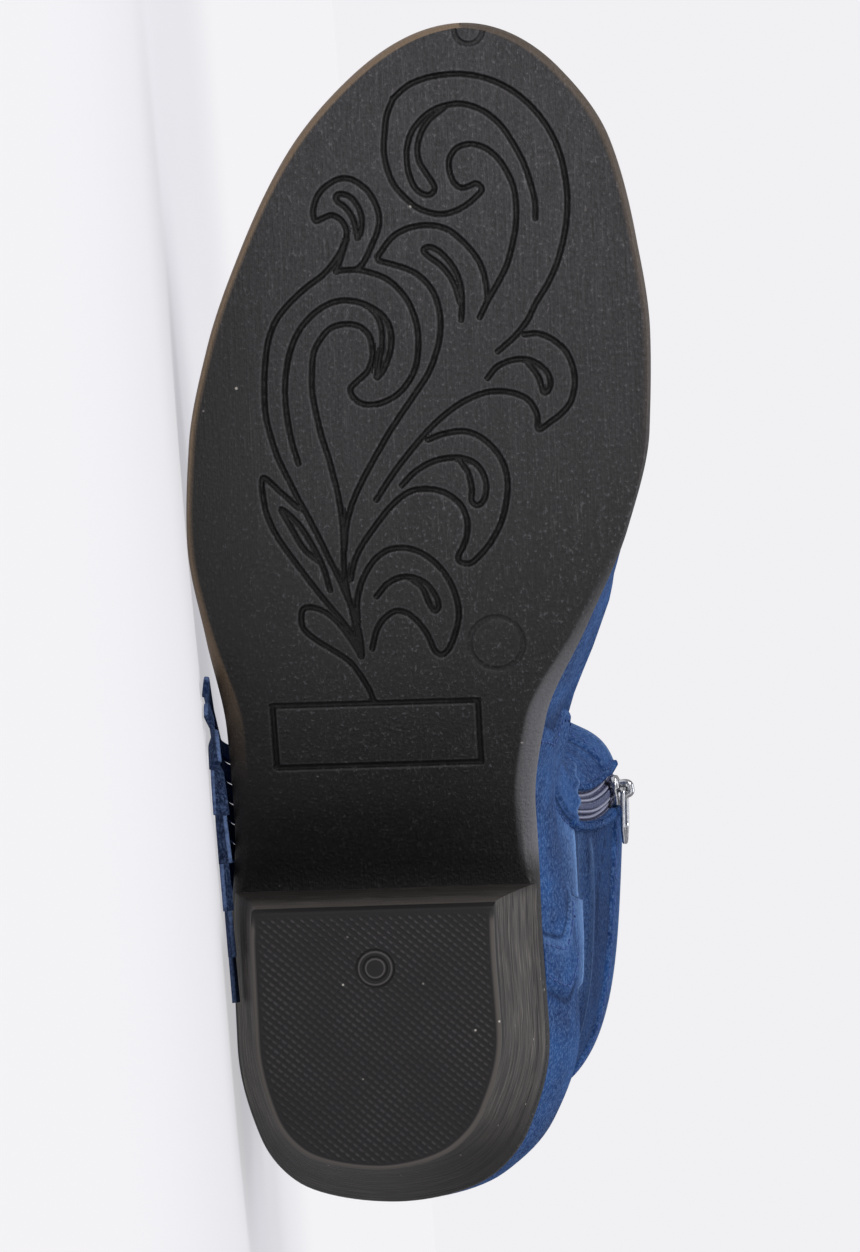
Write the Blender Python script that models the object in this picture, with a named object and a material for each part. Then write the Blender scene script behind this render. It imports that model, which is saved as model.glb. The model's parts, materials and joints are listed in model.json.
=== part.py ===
"""A western fringe ankle boot for the right foot, lying on its outer side.

Every piece is shaped in the boot's own frame: x points to the outer side of the foot, y to the toe,
z up the shaft, with the origin under the back of the seat on the ground line. A last step lays the
boot on its outer side: sole facing -Y, toe towards -X, zip side up.
"""

import math

import bmesh
import bpy
import numpy as np
from mathutils import Matrix

# Driving dimensions in metres
SOLE_LENGTH = 0.2580
BALL_WIDTH = 0.0975
WAIST_WIDTH = 0.0660
SEAT_WIDTH = 0.0695
SOLE_THICKNESS = 0.0052
HEEL_HEIGHT = 0.0410
TOE_SPRING = 0.0080
WAIST_BEVEL = 0.0034
HEEL_TIP_WIDTH = 0.0530
HEEL_TIP_LENGTH = 0.0560
HEEL_LENGTH = 0.0707
LIFT_THICKNESS = 0.0065
INSTEP_HEIGHT = 0.0970
COLLAR_HEIGHT_BACK = 0.1720
COLLAR_HEIGHT_FRONT = 0.1850
COLLAR_LENGTH = 0.1100
COLLAR_WIDTH = 0.0930
UPPER_WALL = 0.0018
SOLE_FLANGE = 0.0042
SEAT_FLANGE = 0.0016
INSOLE_THICKNESS = 0.0025
QUARTER_STEP = 0.0008
COUNTER_BAND_STEP = 0.0016
COLLAR_BAND_STEP = 0.0009
COLLAR_BAND_HEIGHT = 0.0110
COLLAR_SHIFT = -0.0007
OUTER_SIDE_SWELL = 0.28
ZIP_RECESS = 0.0005
ZIP_TAPE_THICKNESS = 0.0009
ZIP_COIL_WIDTH = 0.0042
ZIP_COIL_HEIGHT = 0.0010
SLIDER_LENGTH = 0.0064
SLIDER_WIDTH = 0.0074
SLIDER_HEIGHT = 0.0022
PULL_LENGTH = 0.0140
PULL_WIDTH = 0.0094
PULL_RIM = 0.0012
PULL_THICKNESS = 0.0012
STRIP_LENGTH = 0.1000
STRIP_WIDTH = 0.0040
STRIP_THICKNESS = 0.0012
HEADER_THICKNESS = 0.0014
GAP = 0.0003

# Small edges, powers and spacings
SMOOTH_ANGLE = 35.0
TOE_CURVE = 1.8
SOLE_TOP_ROUND = 0.12
HEEL_FLARE = 1.35
LIFT_EDGE = 0.0007
INSOLE_CLEARANCE = 0.00075
TAPE_CLEARANCE = 0.00054
TAPE_FOOT = 0.004
TAPE_HEAD = 0.003
SLIDER_BEVEL = 0.22
BRIDGE_LEG = 0.0009
BRIDGE_CROWN = 0.0008
BRIDGE_BEVEL = 0.0004
BRIDGE_LENGTH = 0.32
BRIDGE_PLAY = 0.00042
HEADER_CLEARANCE = 0.00042
STRIP_STEPS = 15

# Side of the sole from the tread up: share of the waist bevel, share of the thickness
SOLE_SIDE = (
    (1.00, 0.00),
    (0.35, 0.22),
    (0.00, 0.62),
)

# Ring of the zip's pull: share of its reach, share of its half width, for its rim and for its hole
PULL_RING = (
    (0.00, -1.00),
    (0.00, 1.00),
    (0.70, 1.00),
    (1.00, 0.30),
    (1.00, -0.30),
    (0.70, -1.00),
)

# Densities in kilograms per cubic metre, which place the centre of mass over the resting plane
DENSITY = {"outsole": 1150, "heel_block": 700, "top_lift": 1200, "insole": 600, "upper": 900}

# Outline of the sole: share of the length, size that the row follows, outer and inner edge as shares of it
SOLE_OUTLINE = (
    (0.00, "seat", 0.014, 0.014),
    (0.02, "seat", 0.338, -0.285),
    (0.06, "seat", 0.450, -0.410),
    (0.14, "seat", 0.511, -0.486),
    (0.24, "seat", 0.512, -0.475),
    (0.34, "waist", 0.503, -0.500),
    (0.42, "waist", 0.494, -0.553),
    (0.50, "ball", 0.361, -0.478),
    (0.58, "ball", 0.387, -0.576),
    (0.66, "ball", 0.374, -0.631),
    (0.74, "ball", 0.326, -0.640),
    (0.82, "ball", 0.245, -0.616),
    (0.90, "ball", 0.133, -0.566),
    (0.96, "ball", -0.010, -0.461),
    (1.00, "ball", -0.250, -0.250),
)

# Underside from the breast to the ball: share of the sole length, share of the heel height
WAIST_RISE = (
    (0.000, 1.060),
    (0.200, 1.015),
    (0.274, 1.000),
    (0.310, 0.915),
    (0.350, 0.745),
    (0.390, 0.565),
    (0.430, 0.395),
    (0.470, 0.250),
    (0.510, 0.140),
    (0.550, 0.060),
    (0.590, 0.014),
    (0.625, 0.000),
    (0.730, 0.000),
)
FLAT_FROM = 0.625
FLAT_TO = 0.730

# Waist bevel and flange: share of the sole length, share of WAIST_BEVEL, share of SOLE_FLANGE over SEAT_FLANGE
EDGE_FORM = (
    (0.00, 0.20, 0.00),
    (0.24, 0.25, 0.00),
    (0.30, 1.00, 0.10),
    (0.42, 1.00, 0.25),
    (0.52, 0.35, 0.80),
    (0.62, 0.20, 1.00),
    (1.00, 0.20, 1.00),
)

# Rings of the upper from the feather line to the collar.
# back_y, front_y: shares of SOLE_LENGTH; back_rise: 0 at the seat, 1 at the collar;
# front_rise: share of INSTEP_HEIGHT up to 1, then 1 plus the share up to the collar;
# heel, waist, ball: swell over the feather outline; dome: power that closes the front, 0 for none;
# shaft: share of the collar's oval; girth: width of that oval; follow: share of the sole's curve kept;
# warp: power that draws the seam lines back up the shaft; blunt: power that spaces the columns at the back
RING_COLUMNS = ("back_y", "back_rise", "front_y", "front_rise", "heel", "waist", "ball",
                "dome", "shaft", "girth", "follow", "warp", "blunt")
RINGS = (
    (0.006, 0.000, 0.983, 0.000, 1.00, 1.00, 1.00, 90.0, 0.00, 0.80, 1.00, 1.00, 1.00),
    (-0.001, 0.050, 0.986, 0.080, 1.06, 1.05, 1.030, 80.0, 0.00, 0.80, 0.86, 1.00, 0.95),
    (-0.006, 0.120, 0.979, 0.175, 1.13, 1.10, 1.040, 60.0, 0.00, 0.80, 0.66, 1.00, 0.90),
    (-0.006, 0.195, 0.944, 0.265, 1.18, 1.12, 1.030, 24.0, 0.00, 0.80, 0.46, 0.93, 0.85),
    (-0.004, 0.265, 0.862, 0.340, 1.20, 1.12, 1.010, 9.0, 0.02, 0.80, 0.27, 0.82, 0.80),
    (0.000, 0.335, 0.752, 0.435, 1.18, 1.08, 1.000, 6.0, 0.10, 0.80, 0.13, 0.72, 0.74),
    (0.006, 0.415, 0.640, 0.570, 1.14, 1.03, 1.000, 4.6, 0.25, 0.80, 0.05, 0.62, 0.68),
    (0.012, 0.505, 0.539, 0.760, 1.10, 1.00, 1.000, 3.8, 0.45, 0.81, 0.00, 0.55, 0.62),
    (0.016, 0.600, 0.467, 1.000, 1.08, 1.00, 1.000, 3.2, 0.66, 0.84, 0.00, 0.50, 0.57),
    (0.018, 0.705, 0.432, 1.240, 1.06, 1.00, 1.000, 2.9, 0.84, 0.88, 0.00, 0.47, 0.53),
    (0.016, 0.810, 0.424, 1.490, 1.04, 1.00, 1.000, 2.6, 0.95, 0.93, 0.00, 0.466, 0.50),
    (0.012, 0.910, 0.430, 1.750, 1.04, 1.00, 1.000, 2.5, 1.00, 0.97, 0.00, 0.466, 0.50),
    (0.008, 1.000, 0.438, 2.000, 1.04, 1.00, 1.000, 2.4, 1.00, 1.00, 0.00, 0.466, 0.50),
)

# Seam lines as shares of the foot's length, with the height of the wall's step there
COUNTER_BACK = 0.222
COUNTER_FRONT = 0.250
SEAM_WIDTH = 0.005
VAMP_SEAM = 0.412
ZIP_FRONT = 0.535
ZIP_LOW = 0.500
ZIP_SLIDER_AT = 0.930
WIDEST_OF_COLLAR = 0.62

# Fringe header on the outer ankle: its ends as places on the ring and its edges as levels
HEADER_BACK = 0.228
HEADER_FRONT = 0.612
HEADER_LOW = 0.655
HEADER_HIGH = 0.735

# How each strip lies, from the heel to the toe end of the header: first and last heading in degrees
# from the shaft's line towards the heel, share of its length where it turns, roll at its tip in degrees
STRIP_LIE = (
    (-14.0, 84.0, 0.720, 10.0),
    (-14.4, 84.0, 0.765, -16.0),
    (-14.8, 84.0, 0.810, 22.0),
    (-15.2, 83.0, 0.855, -38.0),
    (-15.6, 80.0, 0.900, 46.0),
    (-16.0, 74.0, 0.945, -34.0),
    (-16.4, 60.0, 0.980, 18.0),
    (-16.8, 40.0, 1.000, -12.0),
)


def blend(x, xs, ys):
    """Monotone cubic through a short table, for a number or an array."""
    xs = np.asarray(xs, float)
    ys = np.asarray(ys, float)
    step = np.diff(xs)
    slope = np.diff(ys) / step
    tangent = np.zeros(len(xs))
    same = slope[:-1] * slope[1:] > 0
    w1 = 2 * step[1:] + step[:-1]
    w2 = step[1:] + 2 * step[:-1]
    inner = np.zeros(len(slope) - 1)
    inner[same] = (w1 + w2)[same] / (w1[same] / slope[:-1][same] + w2[same] / slope[1:][same])
    tangent[1:-1] = inner
    tangent[0] = slope[0]
    tangent[-1] = slope[-1]
    x = np.clip(np.asarray(x, float), xs[0], xs[-1])
    i = np.clip(np.searchsorted(xs, x, side="right") - 1, 0, len(xs) - 2)
    u = (x - xs[i]) / step[i]
    h00 = (1 + 2 * u) * (1 - u) ** 2
    h10 = u * (1 - u) ** 2
    h01 = u * u * (3 - 2 * u)
    h11 = u * u * (u - 1)
    return h00 * ys[i] + h10 * step[i] * tangent[i] + h01 * ys[i + 1] + h11 * step[i] * tangent[i + 1]


def outline(share):
    """Centre line and half width of the sole at a share of its length, 0 at the back and 1 at the toe."""
    sizes = {"seat": SEAT_WIDTH, "waist": WAIST_WIDTH, "ball": BALL_WIDTH}
    turn = [math.acos(1 - 2 * row[0]) for row in SOLE_OUTLINE]
    outer = [row[2] * sizes[row[1]] for row in SOLE_OUTLINE]
    inner = [row[3] * sizes[row[1]] for row in SOLE_OUTLINE]
    at = np.arccos(np.clip(1 - 2 * np.asarray(share, float), -1, 1))
    x_out = blend(at, turn, outer)
    x_in = blend(at, turn, inner)
    return (x_out + x_in) / 2, (x_out - x_in) / 2


def underside(y):
    """Height of the sole's underside above the ground."""
    share = np.asarray(y, float) / SOLE_LENGTH
    rise = blend(share, [row[0] for row in WAIST_RISE], [row[1] for row in WAIST_RISE]) * HEEL_HEIGHT
    past = np.clip((share - FLAT_TO) / (1 - FLAT_TO), 0, None)
    return rise + TOE_SPRING * past**TOE_CURVE


def topside(y):
    return underside(y) + SOLE_THICKNESS


def edge_form(share):
    """Waist bevel and flange beside the upper at a share of the sole's length."""
    rows = [row[0] for row in EDGE_FORM]
    bevel = blend(share, rows, [row[1] for row in EDGE_FORM]) * WAIST_BEVEL
    flange = SEAT_FLANGE + blend(share, rows, [row[2] for row in EDGE_FORM]) * (SOLE_FLANGE - SEAT_FLANGE)
    return bevel, flange


def add_object(name, vertices, faces, colour, roughness, metallic=0.0, origin=None):
    """One named mesh object with its own material; the origin is given in the boot's frame."""
    vertices = np.asarray(vertices, float)
    origin = np.zeros(3) if origin is None else np.asarray(origin, float)
    mesh = bpy.data.meshes.new(name)
    mesh.from_pydata((vertices - origin).tolist(), [], [list(map(int, face)) for face in faces])
    shell = bmesh.new()
    shell.from_mesh(mesh)
    bmesh.ops.recalc_face_normals(shell, faces=shell.faces)
    bmesh.ops.triangulate(shell, faces=shell.faces)
    shell.to_mesh(mesh)
    shell.free()
    mesh.update()
    mesh.shade_smooth()
    mesh.set_sharp_from_angle(angle=math.radians(SMOOTH_ANGLE))
    obj = bpy.data.objects.new(name, mesh)
    obj.location = origin.tolist()
    bpy.context.scene.collection.objects.link(obj)
    material = bpy.data.materials.new(name)
    material.use_nodes = True
    shader = material.node_tree.nodes["Principled BSDF"]
    shader.inputs["Base Color"].default_value = (*colour, 1.0)
    shader.inputs["Roughness"].default_value = roughness
    shader.inputs["Metallic"].default_value = metallic
    mesh.materials.append(material)
    return obj


def ladder_loop(centre, half, y, z, front_tip):
    """A closed loop from its rungs: back tip, outer side, front tip if there is one, inner side."""
    outer = np.stack([centre + half, y, z], 1)
    inner = np.stack([centre - half, y, z], 1)
    back = inner[-2:0:-1] if front_tip else inner[:0:-1]
    return np.concatenate([outer, back])


def stack_loops(loops, rungs, front_tip):
    """Solid between loops of the same rungs, listed from the ground up, with rungs as its two caps."""
    count = len(loops[0])
    vertices = np.concatenate(loops)
    faces = []
    for level in range(len(loops) - 1):
        low = level * count
        high = low + count
        for i in range(count):
            j = (i + 1) % count
            faces.append((low + i, low + j, high + j, high + i))
    last = rungs - 1
    top = (len(loops) - 1) * count
    for i in range(last):
        a = i
        b = i + 1
        d = (count - i) % count
        c = (count - i - 1) % count
        corners = [a, b] + ([c] if c != b else []) + ([d] if d != a else [])
        faces.append([corner for corner in reversed(corners)])
        faces.append([top + corner for corner in corners])
    return vertices, faces


def rounded_steps(count):
    """Shares from 0 to 1, close together at both ends."""
    return (1 - np.cos(np.linspace(0, math.pi, count))) / 2


def make_outsole():
    """Sole slab: tread face, bevelled waist edge, straight wall and a small top round."""
    flat = [FLAT_FROM, FLAT_TO]
    shares = np.unique(np.round(np.concatenate([rounded_steps(97), flat]), 5))
    y = shares * SOLE_LENGTH
    centre, half = outline(shares)
    bevel, _ = edge_form(shares)
    bevel = np.minimum(bevel, half)
    low = underside(y)
    round_top = SOLE_TOP_ROUND * SOLE_THICKNESS
    loops = []
    for inset, height in SOLE_SIDE:
        loops.append((np.maximum(half - inset * bevel, 0), low + height * SOLE_THICKNESS))
    loops.append((half, low + SOLE_THICKNESS - round_top))
    loops.append((np.maximum(half - round_top, 0), low + SOLE_THICKNESS))
    stacked = []
    for width, z in loops:
        pull = (half - width).max() * 0.35
        loop_y = pull + y * (1 - 2 * pull / SOLE_LENGTH)
        stacked.append(ladder_loop(centre, width, loop_y, z, True))
    vertices, faces = stack_loops(stacked, len(y), True)
    return add_object("outsole", vertices, faces, (0.030, 0.029, 0.028), 0.62)


def seat_plan(shares, narrow, back, front):
    """Plan of the heel at one height: the seat's outline narrowed and set between back and breast."""
    centre, half = outline(shares * HEEL_LENGTH / SOLE_LENGTH)
    y = back + (front - back) * shares
    return centre, half * narrow, y


def make_heel():
    """Heel block between the lift and the seat: sides flare and the back leans out as it rises."""
    shares = (1 - np.cos(np.linspace(0, math.pi / 2, 15)))
    tip_back = HEEL_LENGTH - HEEL_TIP_LENGTH
    tip_narrow = HEEL_TIP_WIDTH / SEAT_WIDTH
    low = LIFT_THICKNESS + GAP
    bevel, _ = edge_form(0.1)
    loops = []
    for rise in np.linspace(0, 1, 9):
        flare = rise**HEEL_FLARE
        narrow = tip_narrow + (1 - 2 * bevel / SEAT_WIDTH - tip_narrow) * flare
        back = tip_back * (1 - flare) + bevel * flare
        centre, half, y = seat_plan(shares, narrow, back, HEEL_LENGTH)
        z = low + (underside(y) - GAP - low) * rise
        loops.append(ladder_loop(centre, half, y, z, False))
    vertices, faces = stack_loops(loops, len(shares), False)
    return add_object("heel_block", vertices, faces, (0.045, 0.041, 0.038), 0.55)


def make_top_lift():
    """Rubber lift under the heel block, with a small round at its ground edge."""
    shares = (1 - np.cos(np.linspace(0, math.pi / 2, 15)))
    tip_back = HEEL_LENGTH - HEEL_TIP_LENGTH
    tip_narrow = HEEL_TIP_WIDTH / SEAT_WIDTH
    loops = []
    for inset, z in ((LIFT_EDGE, 0.0), (0.0, LIFT_EDGE), (0.0, LIFT_THICKNESS)):
        centre, half, y = seat_plan(shares, tip_narrow, tip_back + inset, HEEL_LENGTH - inset)
        loops.append(ladder_loop(centre, np.maximum(half - inset, 0), y, np.full_like(y, z), False))
    vertices, faces = stack_loops(loops, len(shares), False)
    return add_object("top_lift", vertices, faces, (0.022, 0.022, 0.022), 0.70)


def ring_values(level):
    """Named sizes of the upper's ring at a level, 0 at the feather line and 1 at the collar."""
    rows = np.asarray(RINGS, float)
    at = np.linspace(0, 1, len(RINGS))
    values = {name: blend(level, at, rows[:, i]) for i, name in enumerate(RING_COLUMNS)}
    seat = topside(RINGS[0][0] * SOLE_LENGTH) + GAP
    toe = topside(RINGS[0][2] * SOLE_LENGTH) + GAP
    values["back_z"] = seat + values["back_rise"] * (COLLAR_HEIGHT_BACK - seat)
    rise = values["front_rise"]
    low = toe + np.clip(rise, 0, 1) * (INSTEP_HEIGHT - toe)
    values["front_z"] = low + np.clip(rise - 1, 0, 1) * (COLLAR_HEIGHT_FRONT - INSTEP_HEIGHT)
    values["back_y"] = values["back_y"] * SOLE_LENGTH
    values["front_y"] = values["front_y"] * SOLE_LENGTH
    reach = np.clip((values["shaft"] - 0.6) / 0.4, 0, 1)
    collar_front = RINGS[-1][0] * SOLE_LENGTH + COLLAR_LENGTH
    values["front_y"] = values["front_y"] + reach * (collar_front - RINGS[-1][2] * SOLE_LENGTH)
    return values


def collar_oval(share):
    """Half width of the collar's plan over its greatest, blunt at the back and round in front."""
    back = np.clip(1 - share / WIDEST_OF_COLLAR, 0, 1)
    front = np.clip((share - WIDEST_OF_COLLAR) / (1 - WIDEST_OF_COLLAR), 0, 1)
    blunt = (1 - back**4) ** 0.25 * (1 - 0.10 * back)
    return blunt * (1 - front**2.4) ** (1 / 2.4)


def upper_surface(side, place, level):
    """Points on the upper's outer face.

    side is +1 for the outer and -1 for the inner side; place runs 0 to 1 from the back to the front
    of a ring and level 0 to 1 from the feather line to the collar, as arrays of one shape. Each ring
    is the foot's outline, swollen and closed in front, blended into the collar's oval.
    """
    ring = ring_values(level)
    length = SOLE_LENGTH * (RINGS[0][2] - RINGS[0][0])
    span = ring["front_y"] - ring["back_y"]
    turn = np.clip(place / COUNTER_BACK, 0, 1) * math.pi / 2
    knot = COUNTER_BACK ** ring["warp"]
    behind = knot * (1 - np.abs(np.cos(turn)) ** ring["blunt"])
    share = np.where(place < COUNTER_BACK, behind, np.clip(place, 1e-9, 1) ** ring["warp"])
    y = ring["back_y"] + span * share
    along = share * np.minimum(span / length, 1)
    base_centre, base_half = outline(along)
    _, flange = edge_form(along)
    widest = np.maximum(base_half, 1e-9)
    inset = flange * np.clip(widest / (0.25 * BALL_WIDTH), 0, 1)
    foot_half = np.maximum(base_half - inset, 0)
    to_waist = np.clip((along - 0.22) / 0.16, 0, 1)
    to_ball = np.clip((along - 0.38) / 0.22, 0, 1)
    swell = ring["heel"] + (ring["waist"] - ring["heel"]) * to_waist
    swell = swell + (ring["ball"] - ring["waist"]) * to_ball
    swell = 1 + (swell - 1) * np.where(side > 0, OUTER_SIDE_SWELL, 1.0)
    dome = np.sqrt(np.clip(1 - np.clip(share, 0, 1) ** ring["dome"], 0, 1))
    tall = ring["shaft"]
    half = (1 - tall) * foot_half * swell * dome
    half = half + tall * ring["girth"] * COLLAR_WIDTH / 2 * collar_oval(share)
    centre = base_centre * (1 - tall) + tall * COLLAR_SHIFT
    x = centre + side * half
    z = ring["back_z"] + (ring["front_z"] - ring["back_z"]) * share
    feather = RINGS[0][0] * SOLE_LENGTH + length * along
    seat = topside(RINGS[0][0] * SOLE_LENGTH)
    toe = topside(RINGS[0][2] * SOLE_LENGTH)
    z = z + ring["follow"] * (topside(feather) - (seat + (toe - seat) * along))
    return np.stack([x, y, z], -1)


def surface_normal(side, place, level):
    """Outward unit normal of the upper, from short steps along the ring and up the wall."""
    small = 2e-3
    a = np.clip(place - small, 0, 1)
    b = np.clip(place + small, 0, 1)
    c = np.clip(level - small, 0, 1)
    d = np.clip(level + small, 0, 1)
    across = upper_surface(side, b, level) - upper_surface(side, a, level)
    up = upper_surface(side, place, d) - upper_surface(side, place, c)
    normal = np.cross(across, up) * side
    return normal / np.maximum(np.linalg.norm(normal, axis=-1, keepdims=True), 1e-12)


def seam_relief(place, level):
    """Height that the quarter, the counter band and the collar band stand over the wall."""
    low = np.clip((0.62 - level) / 0.12, 0, 1)
    quarter = QUARTER_STEP * (place < VAMP_SEAM + 1e-6) * low
    inside = (place > COUNTER_BACK + 1e-6) & (place < COUNTER_FRONT - 1e-6)
    band = (COUNTER_BAND_STEP - QUARTER_STEP) * inside * low
    return quarter + band


def column_places():
    """Places of the wall's columns from back to front, with every seam line among them."""
    back = np.linspace(0, COUNTER_BACK, 10)
    band = [COUNTER_BACK + SEAM_WIDTH, COUNTER_FRONT - SEAM_WIDTH]
    quarter = np.linspace(COUNTER_FRONT, VAMP_SEAM, 8)
    seam = [VAMP_SEAM + SEAM_WIDTH]
    front = ZIP_FRONT + (1 - ZIP_FRONT) * np.sin(np.linspace(0, math.pi / 2, 16))
    return np.concatenate([back, band, quarter, seam, front])


def collar_band_level():
    """Level at which the collar band starts, from its height."""
    levels = np.linspace(0.5, 1, 201)
    heights = ring_values(levels)["back_z"]
    return float(np.interp(COLLAR_HEIGHT_BACK - COLLAR_BAND_HEIGHT, heights, levels))


def wall_levels():
    """Levels of the wall's rows, with the zip's foot and both lips of the collar band among them."""
    band = collar_band_level()
    plain = [level for level in np.linspace(0, 1, 19) if abs(level - band) > 0.02]
    return np.array(sorted(set(plain + [ZIP_LOW, band, band + 0.006])))


def wall_points(side, places, levels, lift):
    """Points that stand off the upper's outer face by lift, with both rims kept level."""
    place, level = np.meshgrid(places, levels)
    normal = surface_normal(side, place, level)
    normal[:, [0, -1], 0] *= (places[[0, -1]] > 1e-9) & (places[[0, -1]] < 1 - 1e-9)
    rim = (level < 1e-9) | (level > 1 - 1e-9)
    normal[..., 2] = np.where(rim, 0, normal[..., 2])
    normal = normal / np.linalg.norm(normal, axis=-1, keepdims=True)
    points = upper_surface(side, place, level) + normal * np.asarray(lift)[..., None]
    foot = level < 1e-9
    points[..., 2] = np.where(foot, topside(np.clip(points[..., 1], 0, SOLE_LENGTH)) + GAP, points[..., 2])
    return points


def make_upper():
    """The hollow upper: outer and inner grids joined at the feather line, the collar and the zip slit."""
    places = column_places()
    levels = wall_levels()
    place, level = np.meshgrid(places, levels)
    lift = seam_relief(place, level)
    band = collar_band_level()
    lift = np.maximum(lift, COLLAR_BAND_STEP * (level > band + 0.003))
    skins = []
    for offset in (lift, np.full_like(lift, -UPPER_WALL)):
        outer = wall_points(1, places, levels, offset)
        inner = wall_points(-1, places, levels, offset)
        skins.append(np.concatenate([outer, inner[:, -2:0:-1]], 1))
    rows, columns = skins[0].shape[:2]
    vertices = np.concatenate([skin.reshape(-1, 3) for skin in skins])
    inside = rows * columns
    zip_back = int(np.argmin(np.abs(places - VAMP_SEAM - SEAM_WIDTH)))
    slit = columns - zip_back - 1
    slit_row = int(np.argmin(np.abs(levels - ZIP_LOW)))
    faces = []
    for r in range(rows - 1):
        for c in range(columns):
            d = (c + 1) % columns
            a, b = r * columns + c, r * columns + d
            quad = (a, b, b + columns, a + columns)
            if c == slit and r >= slit_row:
                faces.append((a, a + columns, a + columns + inside, a + inside))
                faces.append((b, b + columns, b + columns + inside, b + inside))
                continue
            faces.append(quad)
            faces.append(tuple(i + inside for i in reversed(quad)))
    top = (rows - 1) * columns
    foot = slit_row * columns
    for c in range(columns):
        d = (c + 1) % columns
        faces.append((c, d, d + inside, c + inside))
        if c != slit:
            faces.append((top + c, top + d, top + d + inside, top + c + inside))
    faces.append((foot + slit, foot + slit + 1, foot + slit + 1 + inside, foot + slit + inside))
    return add_object("upper", vertices, faces, (0.045, 0.090, 0.235), 0.90)


def make_insole():
    """Board inside the foot of the upper, clear of its wall and of the sole."""
    places = np.linspace(0, 1, 401)
    foot = np.array([0.0, 0.04])
    outer, inner = [wall_points(side, places, foot, np.full((2, 401), -UPPER_WALL))[0] for side in (1, -1)]
    y_low = outer[0, 1] + INSOLE_CLEARANCE
    y_high = outer[-1, 1] - INSOLE_CLEARANCE
    y = y_low + (y_high - y_low) * rounded_steps(61)
    x_out = np.interp(y, outer[:, 1], outer[:, 0])
    x_in = np.interp(y, inner[:, 1], inner[:, 0])
    half = np.maximum((x_out - x_in) / 2 - INSOLE_CLEARANCE, 0)
    half[[0, -1]] = 0
    z = topside(y) + GAP
    loops = [ladder_loop((x_out + x_in) / 2, half, y, z + rise, True) for rise in (0, INSOLE_THICKNESS)]
    vertices, faces = stack_loops(loops, len(y), True)
    return add_object("insole", vertices, faces, (0.42, 0.34, 0.25), 0.85)


def slit_frame(level):
    """Middle of the zip slit at a level, with its unit vectors across to the front, up and outward."""
    back = upper_surface(-1, np.asarray(VAMP_SEAM + SEAM_WIDTH), np.asarray(level))
    front = upper_surface(-1, np.asarray(ZIP_FRONT), np.asarray(level))
    step = 0.01
    high = min(level + step, 1.0)
    up = slit_middle(high) - slit_middle(high - 2 * step)
    across = front - back
    width = np.linalg.norm(across)
    across = across / width
    outward = np.cross(up, across)
    outward = outward / np.linalg.norm(outward)
    up = np.cross(across, outward)
    return (back + front) / 2, across, up, outward, width


def slit_middle(level):
    back = upper_surface(-1, np.asarray(VAMP_SEAM + SEAM_WIDTH), np.asarray(level))
    front = upper_surface(-1, np.asarray(ZIP_FRONT), np.asarray(level))
    return (back + front) / 2


def make_zip_tape():
    """Tape that fills the slit, with the closed coil as a ridge along its middle."""
    levels = wall_levels()
    levels = levels[levels > ZIP_LOW - 1e-6]
    levels[0] += TAPE_FOOT
    levels[-1] -= TAPE_HEAD
    loops = []
    for level in levels:
        middle, across, _, outward, width = slit_frame(float(level))
        reach = width / 2 - TAPE_CLEARANCE
        ridge = ZIP_COIL_WIDTH / 2
        face = -ZIP_RECESS
        crest = face + ZIP_COIL_HEIGHT
        back = face - ZIP_TAPE_THICKNESS
        profile = ((-reach, back), (reach, back), (reach, face), (ridge, face), (ridge * 0.7, crest),
                   (-ridge * 0.7, crest), (-ridge, face), (-reach, face))
        loops.append([middle + across * w + outward * h for w, h in profile])
    count = len(loops[0])
    vertices = np.concatenate(loops)
    faces = [tuple(range(count)), tuple(range(len(vertices) - 1, len(vertices) - count - 1, -1))]
    for r in range(len(loops) - 1):
        for c in range(count):
            a, b = r * count + c, r * count + (c + 1) % count
            faces.append((a, b, b + count, a + count))
    return add_object("zip_tape", vertices, faces, (0.24, 0.26, 0.40), 0.75)


def prism(outline_points, depth, frame):
    """Vertices and faces of an outline in (w, h) carried along the zip's direction, centred."""
    middle, across, up, outward = frame
    ends = []
    for shift in (-depth / 2, depth / 2):
        ends.append([middle + across * w + outward * h + up * shift for w, h in outline_points])
    count = len(outline_points)
    vertices = np.concatenate(ends)
    faces = [tuple(range(count)), tuple(range(2 * count - 1, count - 1, -1))]
    for i in range(count):
        j = (i + 1) % count
        faces.append((i, j, j + count, i + count))
    return vertices, faces


def slider_heights():
    """Heights over the wall's face of the slider's underside, its top and the pull's axis."""
    under = -ZIP_RECESS + ZIP_COIL_HEIGHT + GAP
    top = under + SLIDER_HEIGHT
    axis = top + GAP + PULL_THICKNESS / 2
    return under, top, axis


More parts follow.
